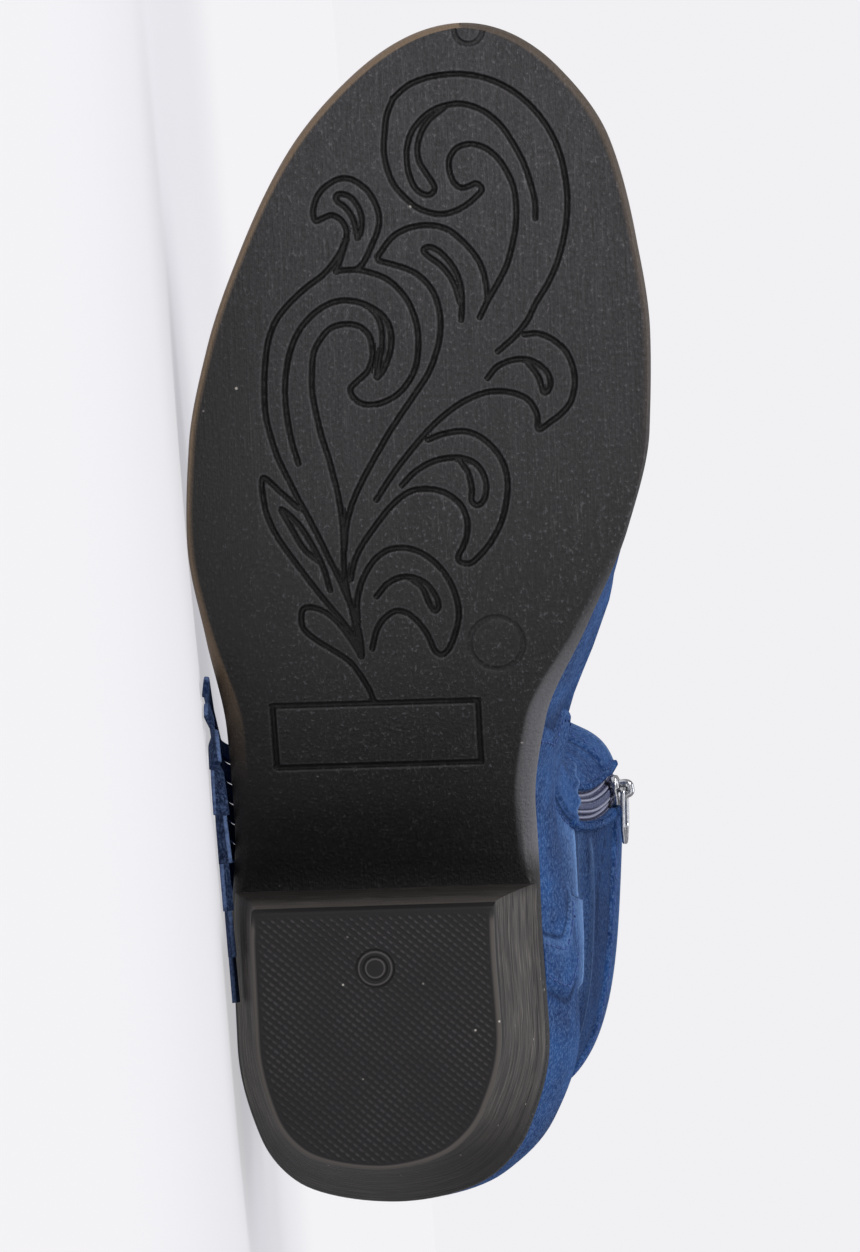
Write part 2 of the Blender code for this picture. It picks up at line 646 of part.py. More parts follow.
def make_zip_slider():
    """Slider body over the coil, with the bridge that holds the pull's bar."""
    middle, across, up, outward, _ = slit_frame(ZIP_SLIDER_AT)
    frame = (middle, across, up, outward)
    under, top, axis = slider_heights()
    w = SLIDER_WIDTH / 2
    cut = SLIDER_BEVEL * SLIDER_HEIGHT
    body = ((-w, under), (w, under), (w, top - cut), (w - cut, top), (-w + cut, top), (-w, top - cut))
    vertices, faces = prism(body, SLIDER_LENGTH, frame)
    slider = add_object("zip_slider", vertices, faces, (0.62, 0.63, 0.66), 0.30, 1.0, middle)
    inner = PULL_THICKNESS / 2 + BRIDGE_PLAY
    outer = inner + BRIDGE_LEG
    crown = axis + inner + BRIDGE_CROWN
    root = top - 0.4 * SLIDER_HEIGHT
    shoulder = crown - BRIDGE_BEVEL
    narrow = outer - BRIDGE_BEVEL
    arch = ((-outer, root), (-inner, root), (-inner, axis + inner), (inner, axis + inner), (inner, root),
            (outer, root), (outer, shoulder), (narrow, crown), (-narrow, crown), (-outer, shoulder))
    vertices, faces = prism(arch, BRIDGE_LENGTH * SLIDER_LENGTH, frame)
    bridge = add_object("bridge_joined_to_slider", vertices, faces, (0.62, 0.63, 0.66), 0.30, 1.0, middle)
    bridge.hide_render = True
    bridge.display_type = "WIRE"
    join = slider.modifiers.new("bridge", "BOOLEAN")
    join.operation = "UNION"
    join.solver = "EXACT"
    join.object = bridge
    return slider, bridge


def make_zip_pull():
    """Pointed hexagonal ring on the slider's bridge, lying towards the heel; its origin is its axis."""
    middle, across, up, outward, _ = slit_frame(ZIP_SLIDER_AT)
    _, _, axis = slider_heights()
    pivot = middle + outward * axis
    lean = math.atan2(axis - PULL_THICKNESS, PULL_LENGTH * 1.15)
    along = -across * math.cos(lean) - outward * math.sin(lean)
    rise = np.cross(up, along)
    rise = rise * np.sign(np.dot(rise, outward))
    half = PULL_WIDTH / 2
    near = -PULL_THICKNESS / 2
    vertices = []
    rim = (near, PULL_LENGTH, half)
    hole = (near + PULL_RIM, PULL_LENGTH - 2 * PULL_RIM, half - PULL_RIM)
    for start, reach, wide in (rim, hole):
        for height in (-PULL_THICKNESS / 2, PULL_THICKNESS / 2):
            for a, b in PULL_RING:
                vertices.append(pivot + along * (start + a * reach) + up * b * wide + rise * height)
    faces = []
    for i in range(6):
        j = (i + 1) % 6
        faces.append((i, j, j + 6, i + 6))
        faces.append((12 + i, 18 + i, 18 + j, 12 + j))
        faces.append((i, 12 + i, 12 + j, j))
        faces.append((6 + i, 6 + j, 18 + j, 18 + i))
    return add_object("zip_pull", vertices, faces, (0.70, 0.71, 0.73), 0.25, 1.0, pivot)


def mesh_of(obj):
    """Vertices in the boot's frame and triangles of an object's evaluated mesh."""
    graph = bpy.context.evaluated_depsgraph_get()
    evaluated = obj.evaluated_get(graph)
    mesh = evaluated.to_mesh()
    mesh.calc_loop_triangles()
    points = np.empty(len(mesh.vertices) * 3)
    mesh.vertices.foreach_get("co", points)
    triangles = np.empty(len(mesh.loop_triangles) * 3, np.int64)
    mesh.loop_triangles.foreach_get("vertices", triangles)
    evaluated.to_mesh_clear()
    return points.reshape(-1, 3) + np.array(obj.location), triangles.reshape(-1, 3)


def mass_centre(solids):
    """Centre of mass of (object, density) pairs, from the signed tetrahedra of their triangles."""
    total = 0.0
    moment = np.zeros(3)
    for obj, density in solids:
        points, triangles = mesh_of(obj)
        corners = points[triangles]
        volume = np.linalg.det(corners) / 6
        total += density * volume.sum()
        moment += density * (volume[:, None] * corners.sum(1) / 4).sum(0)
    return moment / total


def resting_plane(points, centre):
    """Plane x = a + b y + c z that touches the points from outside under the centre of mass.

    It starts from a wide triangle far inside and swaps one corner at a time for the point that
    stands highest over the plane, keeping the centre of mass over the triangle.
    """
    spread = 10 * np.ptp(points, axis=0).max()
    low = points[:, 0].min() - spread
    corners = [np.array([low, centre[1] + spread * math.cos(a), centre[2] + spread * math.sin(a)])
               for a in (0.3, 2.4, 4.5)]

    def fit(three):
        rows = np.array([[1, p[1], p[2]] for p in three])
        return np.linalg.solve(rows, np.array([p[0] for p in three]))

    def covers(three):
        turns = []
        for i in range(3):
            p, q = three[i], three[(i + 1) % 3]
            turns.append((q[1] - p[1]) * (centre[2] - p[2]) - (q[2] - p[2]) * (centre[1] - p[1]))
        area = (three[1] - three[0])[1] * (three[2] - three[0])[2]
        area -= (three[1] - three[0])[2] * (three[2] - three[0])[1]
        return abs(area) > 1e-12 and (min(turns) >= 0 or max(turns) <= 0)

    for _ in range(200):
        plane = fit(corners)
        over = points[:, 0] - (plane[0] + plane[1] * points[:, 1] + plane[2] * points[:, 2])
        best = int(np.argmax(over))
        if over[best] < 1e-9:
            break
        for i in range(3):
            trial = [points[best] if i == k else corners[k] for k in range(3)]
            if covers(trial):
                corners = trial
                break
    return fit(corners)


def laying_matrix(plane):
    """Rotation and drop that take the boot's frame to its lying pose, sole towards -Y and toe to -X."""
    down = np.array([1.0, -plane[1], -plane[2]])
    down = down / np.linalg.norm(down)
    row_z = -down
    toe = np.array([0.0, 1.0, 0.0])
    row_x = -(toe - down * np.dot(toe, down))
    row_x = row_x / np.linalg.norm(row_x)
    row_y = np.cross(row_z, row_x)
    turn = np.stack([row_x, row_y, row_z])
    touching = np.array([plane[0], 0.0, 0.0])
    matrix = np.eye(4)
    matrix[:3, :3] = turn
    matrix[2, 3] = -np.dot(row_z, touching)
    return matrix


def strip_path(root, lie, steps):
    """Middle line of one strip in the lying pose: it drops from the header and runs out on the floor.

    The heading swings from its first to its last value at the turn, and the height sinks to the floor.
    """
    first, last, turn, _ = lie
    share = np.linspace(0, 1, steps)
    swing = np.clip((share - turn + 0.12) / 0.24, 0, 1)
    swing = swing * swing * (3 - 2 * swing)
    leave = np.clip(share / 0.12, 0, 1)
    heading = np.radians(first * leave + (last - first) * swing)
    step = STRIP_LENGTH / (steps - 1)
    middle = (heading[1:] + heading[:-1]) / 2
    x = root[0] + np.concatenate([[0], np.cumsum(np.sin(middle))]) * step
    y = root[1] - np.concatenate([[0], np.cumsum(np.cos(middle))]) * step
    sink = np.clip(share / 0.30, 0, 1)
    sink = sink * sink * (3 - 2 * sink)
    roll = np.radians(lie[3]) * np.clip((share - 0.62) / 0.38, 0, 1)
    rest = GAP + STRIP_THICKNESS / 2 * np.cos(roll) + STRIP_WIDTH / 2 * np.abs(np.sin(roll))
    return np.stack([x, y, root[2] + (rest - root[2]) * sink], 1), roll, sink


def make_fringe(matrix):
    """Header sewn round the outer ankle with its strips fused on, laid out on the floor."""
    count = len(STRIP_LIE)
    fill = np.linspace(HEADER_BACK, HEADER_FRONT, 200)
    edge = wall_points(1, fill, np.array([HEADER_LOW, HEADER_HIGH]), np.zeros((2, 200)))[0]
    run = np.concatenate([[0], np.cumsum(np.linalg.norm(np.diff(edge, axis=0), axis=1))])
    slot = run[-1] / count
    ends = np.array([[i * slot, i * slot + min(STRIP_WIDTH, 0.9 * slot)] for i in range(count)]).ravel()
    places = np.interp(ends, run, fill)
    levels = np.array([HEADER_LOW, (HEADER_LOW + HEADER_HIGH) / 2, HEADER_HIGH])
    turn, drop = matrix[:3, :3], matrix[:3, 3]
    skins = []
    for lift in (HEADER_CLEARANCE, HEADER_CLEARANCE + HEADER_THICKNESS):
        shape = (len(levels), len(places))
        skins.append(wall_points(1, places, levels, np.full(shape, lift)) @ turn.T + drop)
    rows, columns = skins[0].shape[:2]
    outside = rows * columns
    vertices = [skin.reshape(-1, 3) for skin in skins]
    faces = []
    for r in range(rows - 1):
        for c in range(columns - 1):
            a = r * columns + c
            quad = (a, a + 1, a + 1 + columns, a + columns)
            faces.append(quad)
            faces.append(tuple(i + outside for i in reversed(quad)))
        for c in (0, columns - 1):
            a = r * columns + c
            faces.append((a, a + columns, a + columns + outside, a + outside))
    top = (rows - 1) * columns
    for c in range(columns - 1):
        faces.append((top + c, top + c + 1, top + c + 1 + outside, top + c + outside))
        if c % 2 == 1:
            faces.append((c, c + 1, c + 1 + outside, c + outside))
    used = 2 * rows * columns
    for i, lie in enumerate(STRIP_LIE):
        c = 2 * i
        first = np.array([skins[1][0, c], skins[1][0, c + 1], skins[0][0, c + 1], skins[0][0, c]])
        path, roll, sink = strip_path(first.mean(0), lie, STRIP_STEPS)
        tangent = np.gradient(path, axis=0)
        tangent /= np.linalg.norm(tangent, axis=1, keepdims=True)
        away = first[:2].mean(0) - first[2:].mean(0)
        away /= np.linalg.norm(away)
        face = away * (1 - sink[:, None]) + np.array([0, 0, -1.0]) * sink[:, None]
        wide = np.cross(tangent, face)
        wide /= np.linalg.norm(wide, axis=1, keepdims=True)
        wide *= np.sign(np.dot(wide[0], first[1] - first[0]))
        face = np.cross(wide, tangent)
        face *= np.sign((face[:1] * away).sum())
        turned = wide * np.cos(roll)[:, None] + face * np.sin(roll)[:, None]
        face = face * np.cos(roll)[:, None] - wide * np.sin(roll)[:, None]
        half_w = turned * STRIP_WIDTH / 2
        half_t = face * STRIP_THICKNESS / 2
        ring = np.stack([path - half_w + half_t, path + half_w + half_t,
                         path + half_w - half_t, path - half_w - half_t], 1)
        vertices.append(ring[1:].reshape(-1, 3))
        last = [outside + c, outside + c + 1, c + 1, c]
        for k in range(STRIP_STEPS - 1):
            new = [used + 4 * k + m for m in range(4)]
            for m in range(4):
                n = (m + 1) % 4
                faces.append((last[m], last[n], new[n], new[m]))
            last = new
        faces.append(tuple(last))
        used += 4 * (STRIP_STEPS - 1)
    vertices = (np.concatenate(vertices) - drop) @ turn
    return add_object("fringe", vertices, faces, (0.030, 0.055, 0.140), 0.92)


def main():
    for obj in list(bpy.data.objects):
        bpy.data.objects.remove(obj, do_unlink=True)
    pieces = [make_outsole(), make_heel(), make_top_lift(), make_insole(), make_upper(), make_zip_tape()]
    slider, bridge = make_zip_slider()
    pieces += [slider, make_zip_pull()]
    bpy.context.view_layer.update()
    weights = [(obj, DENSITY[obj.name]) for obj in pieces if obj.name in DENSITY]
    points = np.concatenate([mesh_of(obj)[0] for obj in pieces])
    matrix = laying_matrix(resting_plane(points, mass_centre(weights)))
    fringe = make_fringe(matrix)
    pieces.append(fringe)
    bpy.context.view_layer.update()
    points = np.concatenate([points, mesh_of(fringe)[0]])
    placed = points @ matrix[:3, :3].T + matrix[:3, 3]
    low, high = placed.min(0), placed.max(0)
    matrix[:2, 3] -= (low[:2] + high[:2]) / 2
    rest = bpy.data.objects.new("lying_boot", None)
    rest.matrix_world = Matrix(matrix.tolist())
    bpy.context.scene.collection.objects.link(rest)
    for obj in pieces + [bridge]:
        obj.parent = rest
    bpy.context.view_layer.update()


if __name__ == "__main__":
    main()
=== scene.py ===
"""Look of a blue suede western fringe boot for the right foot, lying on its outer side.

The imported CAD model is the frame. Every visible piece is worked out here from the same named sizes as
the CAD part, as dense numpy surfaces in the boot's own frame (x to the outer side of the foot, y to the
toe, z up the shaft, metres), and then laid down into the row frame.
"""

import json
import logging
import math
from dataclasses import dataclass
from enum import Enum

import bmesh
import bpy
import numpy as np
from mathutils import Matrix


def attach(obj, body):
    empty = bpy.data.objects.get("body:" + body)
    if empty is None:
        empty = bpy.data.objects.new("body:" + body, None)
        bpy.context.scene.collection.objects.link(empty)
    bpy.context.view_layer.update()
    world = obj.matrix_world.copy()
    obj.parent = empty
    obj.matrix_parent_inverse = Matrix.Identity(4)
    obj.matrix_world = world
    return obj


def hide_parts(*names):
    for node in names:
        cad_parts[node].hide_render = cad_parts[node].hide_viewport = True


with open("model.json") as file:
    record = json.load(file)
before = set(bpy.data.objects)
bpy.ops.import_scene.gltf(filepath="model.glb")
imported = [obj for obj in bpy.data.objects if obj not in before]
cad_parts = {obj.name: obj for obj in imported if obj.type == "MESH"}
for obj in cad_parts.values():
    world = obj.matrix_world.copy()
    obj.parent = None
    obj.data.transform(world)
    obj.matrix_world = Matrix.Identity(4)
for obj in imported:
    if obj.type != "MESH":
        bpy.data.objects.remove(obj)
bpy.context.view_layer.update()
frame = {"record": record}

LOG = logging.getLogger("fringe_boot")
Array = np.ndarray
MM = 1000.0


class Side(Enum):
    """Side of the foot, as the sign of x in the boot's frame."""

    OUTER = 1
    INNER = -1


# numbers and curves


def linear(hex_colour: str) -> tuple[float, float, float, float]:
    """Linear colour of an sRGB hex code.

    Args:
        hex_colour: Six hex digits.

    Returns:
        Red, green, blue and alpha, linear.
    """
    values = [int(hex_colour[i:i + 2], 16) / 255 for i in (0, 2, 4)]
    return (*[v / 12.92 if v <= 0.04045 else ((v + 0.055) / 1.055) ** 2.4 for v in values], 1.0)


def smooth(x: Array, low: float, high: float) -> Array:
    """Smooth step from 0 at low to 1 at high: 3t^2 - 2t^3 of the clipped share t."""
    t = np.clip((np.asarray(x, float) - low) / (high - low), 0, 1)
    return t * t * (3 - 2 * t)


def bell(x: Array, centre: float, width: float) -> Array:
    """Gaussian bump of height 1."""
    return np.exp(-(((np.asarray(x, float) - centre) / width) ** 2))


def unit(v: Array) -> Array:
    """Vectors of length 1 along the last axis."""
    return v / np.maximum(np.linalg.norm(v, axis=-1, keepdims=True), 1e-12)


def blend(x: Array, xs: Array, ys: Array) -> Array:
    """Monotone cubic through a short table.

    Slopes are harmonic means of the neighbouring chords and zero at a turn, so that the curve never
    overshoots its rows.

    Args:
        x: Where to read it, of any shape.
        xs: Rising places of the rows.
        ys: Their values.

    Returns:
        Values of x's shape.
    """
    xs, ys = np.asarray(xs, float), np.asarray(ys, float)
    step = np.diff(xs)
    slope = np.diff(ys) / step
    tangent = np.zeros(len(xs))
    same = slope[:-1] * slope[1:] > 0
    w1, w2 = 2 * step[1:] + step[:-1], step[1:] + 2 * step[:-1]
    inner = np.zeros(len(slope) - 1)
    inner[same] = (w1 + w2)[same] / (w1[same] / slope[:-1][same] + w2[same] / slope[1:][same])
    tangent[1:-1], tangent[0], tangent[-1] = inner, slope[0], slope[-1]
    x = np.clip(np.asarray(x, float), xs[0], xs[-1])
    i = np.clip(np.searchsorted(xs, x, side="right") - 1, 0, len(xs) - 2)
    u = (x - xs[i]) / step[i]
    rise = u * u * (3 - 2 * u)
    return (ys[i] * (1 - rise) + ys[i + 1] * rise
            + step[i] * (u * (1 - u) ** 2 * tangent[i] - u * u * (1 - u) * tangent[i + 1]))


def spline(points: Array, spacing: float) -> Array:
    """Catmull-Rom curve through points, sampled at an even spacing.

    Args:
        points: Rows of coordinates.
        spacing: Distance between samples.

    Returns:
        The samples, first and last point kept.
    """
    p = np.asarray(points, float)
    p = np.concatenate([2 * p[:1] - p[1:2], p, 2 * p[-1:] - p[-2:-1]])
    t = np.linspace(0, 1, 12, endpoint=False)[:, None]
    a, b, c, d = (p[None, k:len(p) - 3 + k] for k in range(4))
    s = t[:, None]
    dense = 0.5 * (2 * b + (c - a) * s + (2 * a - 5 * b + 4 * c - d) * s**2 + (3 * b - a - 3 * c + d) * s**3)
    dense = np.concatenate([dense.transpose(1, 0, 2).reshape(-1, p.shape[1]), p[-2:-1]])
    return even(dense, spacing)


def run_along(path: Array) -> Array:
    """Length along a polyline up to each of its points."""
    return np.concatenate([[0], np.cumsum(np.linalg.norm(np.diff(path, axis=0), axis=1))])


def turns(count: int) -> Array:
    """Angles once round, evenly spaced."""
    return np.linspace(0, 2 * math.pi, count, endpoint=False)


def squared(x: Array, power: float) -> Array:
    """Power of the size of x with its sign kept; below 1 it fills out a circle towards a square."""
    return np.sign(x) * np.abs(x) ** power


def even(path: Array, spacing: float) -> Array:
    """A polyline read again at an even spacing along its length."""
    run = run_along(path)
    at = np.linspace(0, run[-1], max(2, int(round(run[-1] / spacing)) + 1))
    return np.stack([np.interp(at, run, path[:, k]) for k in range(path.shape[1])], 1)


# the boot's frame


@dataclass(frozen=True)
class BootFrame:
    """Boot's own frame inside the row frame, found again from the two tread mounts of the record."""

    turn: Array
    origin: Array

    @classmethod
    def from_record(cls, record: dict) -> "BootFrame":
        """The frame whose heel and forefoot points lie on the mounts and whose z runs against their axis."""
        mounts = {m["name"]: m for m in record["mounts"]}
        local = np.array([[0.0, 0.040, 0.0], [-0.014, 0.174, 0.0]])
        world = np.array([mounts[name]["pos_m"] for name in ("heel_tread", "forefoot_tread")])
        up = -unit(np.array(mounts["heel_tread"]["axis"], float))
        along = world[1] - world[0]
        along = unit(along - up * (along @ up))
        across = np.cross(along, up)
        seen = unit(local[1] - local[0])
        x = across * seen[1] + along * seen[0]
        y = along * seen[1] - across * seen[0]
        turn = np.stack([x, y, up], 1)
        return cls(turn, (world - local @ turn.T).mean(0))

    def place(self, points: Array) -> Array:
        """Points of the boot's frame in the row frame."""
        return points @ self.turn.T + self.origin

    def back(self, points: Array) -> Array:
        """Points of the row frame in the boot's frame."""
        return (points - self.origin) @ self.turn


BOOT = BootFrame.from_record(frame["record"])


# meshes


@dataclass
class Surface:
    """Points in the boot's frame, faces, and named values on the points.

    Attributes:
        points: (n, 3) array in metres.
        faces: (m, 4) array of corners; a triangle repeats its last corner.
        values: Named float arrays, one number a point.
        slots: Material slot of each face, or None for the first.
    """

    points: Array
    faces: Array
    values: dict[str, Array]
    slots: Array | None = None

    def join(self, other: "Surface") -> "Surface":
        """Both surfaces as one; a value that one lacks is 0 there."""
        names = {*self.values, *other.values}
        pairs = [(s, np.zeros(len(s.points))) for s in (self, other)]
        values = {n: np.concatenate([s.values.get(n, none) for s, none in pairs]) for n in names}
        slots = [np.zeros(len(s.faces), int) if s.slots is None else s.slots for s in (self, other)]
        faces = np.concatenate([self.faces, other.faces + len(self.points)])
        return Surface(np.concatenate([self.points, other.points]), faces, values, np.concatenate(slots))


def joined(surfaces: list[Surface]) -> Surface:
    """Several surfaces as one, in their order."""
    whole = surfaces[0]
    for surface in surfaces[1:]:
        whole = whole.join(surface)
    return whole


def grid_faces(rows: int, columns: int, closed: bool, start: int = 0) -> Array:
    """Quads of a grid of points listed row by row, its columns joined round if closed."""
    r, c = np.meshgrid(np.arange(rows - 1), np.arange(columns if closed else columns - 1), indexing="ij")
    d = (c + 1) % columns
    return np.stack([r * columns + c, r * columns + d, (r + 1) * columns + d, (r + 1) * columns + c],
                    -1).reshape(-1, 4) + start


def swept(rings: Array, values: dict[str, Array] | None = None) -> Surface:
    """Closed body from rings of points, (rows, columns, 3), with a fan of quads on each end."""
    rows, columns = rings.shape[:2]
    faces = [grid_faces(rows, columns, True)]
    half = np.arange(1, columns // 2)
    for row in (0, rows - 1):
        low, high = half, columns - half
        cap = np.stack([low, high, (high + 1) % columns, low - 1], 1)
        faces.append(cap + row * columns)
    middle = columns // 2
    for row in (0, rows - 1):
        faces.append(np.array([[middle - 1, middle, middle + 1, middle + 1]]) + row * columns)
    flat = {name: np.broadcast_to(v, rings.shape[:2]).ravel() for name, v in (values or {}).items()}
    return Surface(rings.reshape(-1, 3), np.concatenate(faces), flat)


def tube(path: Array, normal: Array, radius: float, sides: int) -> Surface:
    """Round cord along a path.

    Args:
        path: Middle line.
        normal: A vector at each point that sets where the ring starts.
        radius: Radius.
        sides: Points a ring.

    Returns:
        The closed cord.
    """
    tangent = unit(np.gradient(path, axis=0))
    wide = unit(np.cross(tangent, normal))
    tall = np.cross(wide, tangent)
    turn = turns(sides)
    ring = np.cos(turn)[None, :, None] * wide[:, None] + np.sin(turn)[None, :, None] * tall[:, None]
    return swept(path[:, None] + ring * radius)


def beads(centre: Array, along: Array, normal: Array, size: tuple[float, float, float], rows: int = 7,
          sides: int = 8, square: float = 1.0) -> Surface:
    """Many small rounded bars as one surface.

    Args:
        centre: (n, 3) middles.
        along: Unit vectors of their length.
        normal: Unit vectors of their height.
        size: Length, width and height.
        rows: Rings a bar.
        sides: Points a ring.
        square: Power that fills out the bar's ends and sides, 1 for an ellipsoid.

    Returns:
        The closed bars joined.
    """
    across = np.cross(along, normal)
    v = np.linspace(0, math.pi, rows)
    u = turns(sides)
    ring = np.maximum(np.sin(v), 0.06)[:, None] ** square
    x, y, z = (squared(wave, square) for wave in (np.cos(v), np.cos(u), np.sin(u)))
    shape = np.stack([np.broadcast_to(x[:, None], (rows, sides)), ring * y, ring * z],
                     -1) * np.array(size) / 2
    axes = np.stack([along, across, normal], 1)
    points = centre[:, None, None] + np.einsum("rsk,nkj->nrsj", shape, axes)
    one = swept(shape)
    count = rows * sides
    faces = (one.faces[None] + (np.arange(len(centre)) * count)[:, None, None]).reshape(-1, 4)
    return Surface(points.reshape(-1, 3), faces, {})


def stood(name: str, data: bpy.types.ID) -> bpy.types.Object:
    """A new object of that data in the scene."""
    obj = bpy.data.objects.new(name, data)
    bpy.context.scene.collection.objects.link(obj)
    return obj


def facing(place: Array, aim: Array, up: Array) -> Matrix:
    """Place and turn of a lamp or camera that looks at a point, with up kept upright."""
    back = unit(place - aim)
    right = unit(np.cross(up, back))
    pose = np.eye(4)
    pose[:3, :3] = np.stack([right, np.cross(back, right), back], 1)
    pose[:3, 3] = place
    return Matrix(pose.tolist())


def build_object(name: str, surface: Surface, materials: list[bpy.types.Material],
                 replaces: tuple[str, ...] = (),
                 body: str = "boot", sharp: float | None = None) -> bpy.types.Object:
    """One finished object in the row frame from a surface in the boot's frame.

    Args:
        name: Object name.
        surface: The surface.
        materials: Its materials, one a slot.
        replaces: CAD nodes that it stands for.
        body: Body that it rides on.
        sharp: Angle in degrees past which an edge is sharp.

    Returns:
        The object.
    """
    mesh = bpy.data.meshes.new(name)
    faces = [row[:3] if row[3] == row[2] else row for row in surface.faces.tolist()]
    mesh.from_pydata(BOOT.place(surface.points).tolist(), [], faces)
    if surface.slots is not None:
        mesh.polygons.foreach_set("material_index", surface.slots.astype(np.int32))
    held = mesh.attributes.new("boot", "FLOAT_VECTOR", "POINT")
    held.data.foreach_set("vector", (surface.points * MM).astype(np.float32).ravel())
    for key, values in surface.values.items():
        held = mesh.attributes.new(key, "FLOAT", "POINT")
        held.data.foreach_set("value", np.asarray(values, np.float32).ravel())
    shell = bmesh.new()
    shell.from_mesh(mesh)
    bmesh.ops.remove_doubles(shell, verts=shell.verts, dist=2e-6)
    bmesh.ops.recalc_face_normals(shell, faces=shell.faces)
    shell.to_mesh(mesh)
    shell.free()
    mesh.shade_smooth()
    if sharp is not None:
        mesh.set_sharp_from_angle(angle=math.radians(sharp))
    obj = stood(name, mesh)
    for material in materials:
        mesh.materials.append(material)
    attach(obj, body)
    if replaces:
        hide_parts(*replaces)
    LOG.info("%s: %d faces", name, len(mesh.polygons))
    return obj


# the forms shared with the CAD part


@dataclass(frozen=True)
class SoleSizes:
    """Sole and heel in metres."""

    length: float = 0.2580
    ball: float = 0.0975
    waist: float = 0.0660
    seat: float = 0.0695
    thickness: float = 0.0052
    heel_height: float = 0.0410
    toe_spring: float = 0.0080
    toe_curve: float = 1.8
    bevel: float = 0.0034
    flange: float = 0.0042
    seat_flange: float = 0.0016
    top_round: float = 0.12
    tip_width: float = 0.0530
    tip_length: float = 0.0560
    heel_length: float = 0.0707
    lift: float = 0.0065
    flare: float = 1.35
    gap: float = 0.0003


class SoleForm:
    """Outline, underside and edge of the sole, from short tables of shares."""

    # share of the length, size the row follows, outer edge, inner edge
    OUTLINE = (
        (0.00, "seat", 0.014, 0.014), (0.02, "seat", 0.338, -0.285), (0.06, "seat", 0.450, -0.410),
        (0.14, "seat", 0.511, -0.486), (0.24, "seat", 0.512, -0.475), (0.34, "waist", 0.503, -0.500),
        (0.42, "waist", 0.494, -0.553), (0.50, "ball", 0.361, -0.478), (0.58, "ball", 0.387, -0.576),
        (0.66, "ball", 0.374, -0.631), (0.74, "ball", 0.326, -0.640), (0.82, "ball", 0.245, -0.616),
        (0.90, "ball", 0.133, -0.566), (0.96, "ball", -0.010, -0.461), (1.00, "ball", -0.250, -0.250),
    )
    # share of the length, share of the heel height
    RISE = (
        (0.000, 1.060), (0.200, 1.015), (0.274, 1.000), (0.310, 0.915), (0.350, 0.745), (0.390, 0.565),
        (0.430, 0.395), (0.470, 0.250), (0.510, 0.140), (0.550, 0.060), (0.590, 0.014), (0.625, 0.000),
        (0.730, 0.000),
    )
    FLAT_TO = 0.730
    # share of the length, share of the bevel, share of the flange over the seat's
    EDGE = (
        (0.00, 0.20, 0.00), (0.24, 0.25, 0.00), (0.30, 1.00, 0.10), (0.42, 1.00, 0.25), (0.52, 0.35, 0.80),
        (0.62, 0.20, 1.00), (1.00, 0.20, 1.00),
    )

    def __init__(self, sizes: SoleSizes) -> None:
        """Keeps the sizes and works out the outline's rows in metres."""
        self.sizes = sizes
        widths = {"seat": sizes.seat, "waist": sizes.waist, "ball": sizes.ball}
        self._turn = [math.acos(1 - 2 * row[0]) for row in self.OUTLINE]
        self._edges = [[row[k] * widths[row[1]] for row in self.OUTLINE] for k in (2, 3)]

    def outline(self, share: Array) -> tuple[Array, Array]:
        """Centre line and half width at a share of the length."""
        at = np.arccos(np.clip(1 - 2 * np.asarray(share, float), -1, 1))
        x_out, x_in = (blend(at, self._turn, edge) for edge in self._edges)
        return (x_out + x_in) / 2, (x_out - x_in) / 2

    def underside(self, y: Array) -> Array:
        """Height of the tread over the ground at y."""
        share = np.asarray(y, float) / self.sizes.length
        rise = blend(share, *zip(*self.RISE)) * self.sizes.heel_height
        past = np.clip((share - self.FLAT_TO) / (1 - self.FLAT_TO), 0, None)
        return rise + self.sizes.toe_spring * past**self.sizes.toe_curve

    def topside(self, y: Array) -> Array:
        """Height of the sole's top over the ground at y."""
        return self.underside(y) + self.sizes.thickness

    def edge(self, share: Array) -> tuple[Array, Array]:
        """Waist bevel and flange beside the upper at a share of the length."""
        rows, bevel, flange = zip(*self.EDGE)
        s = self.sizes
        return (blend(share, rows, bevel) * s.bevel,
                s.seat_flange + blend(share, rows, flange) * (s.flange - s.seat_flange))


@dataclass(frozen=True)
class UpperSizes:
    """Upper, its seams and its zip: metres, and shares of the foot for the seam places."""

    instep: float = 0.0970
    collar_back: float = 0.1720
    collar_front: float = 0.1850
    collar_length: float = 0.1100
    collar_width: float = 0.0930
    collar_shift: float = -0.0007
    collar_band: float = 0.0110
    wall: float = 0.0018
    outer_swell: float = 0.28
    counter_back: float = 0.222
    vamp_seam: float = 0.412
    seam: float = 0.005
    zip_front: float = 0.535
    zip_low: float = 0.500
    slider_at: float = 0.930
    widest: float = 0.62


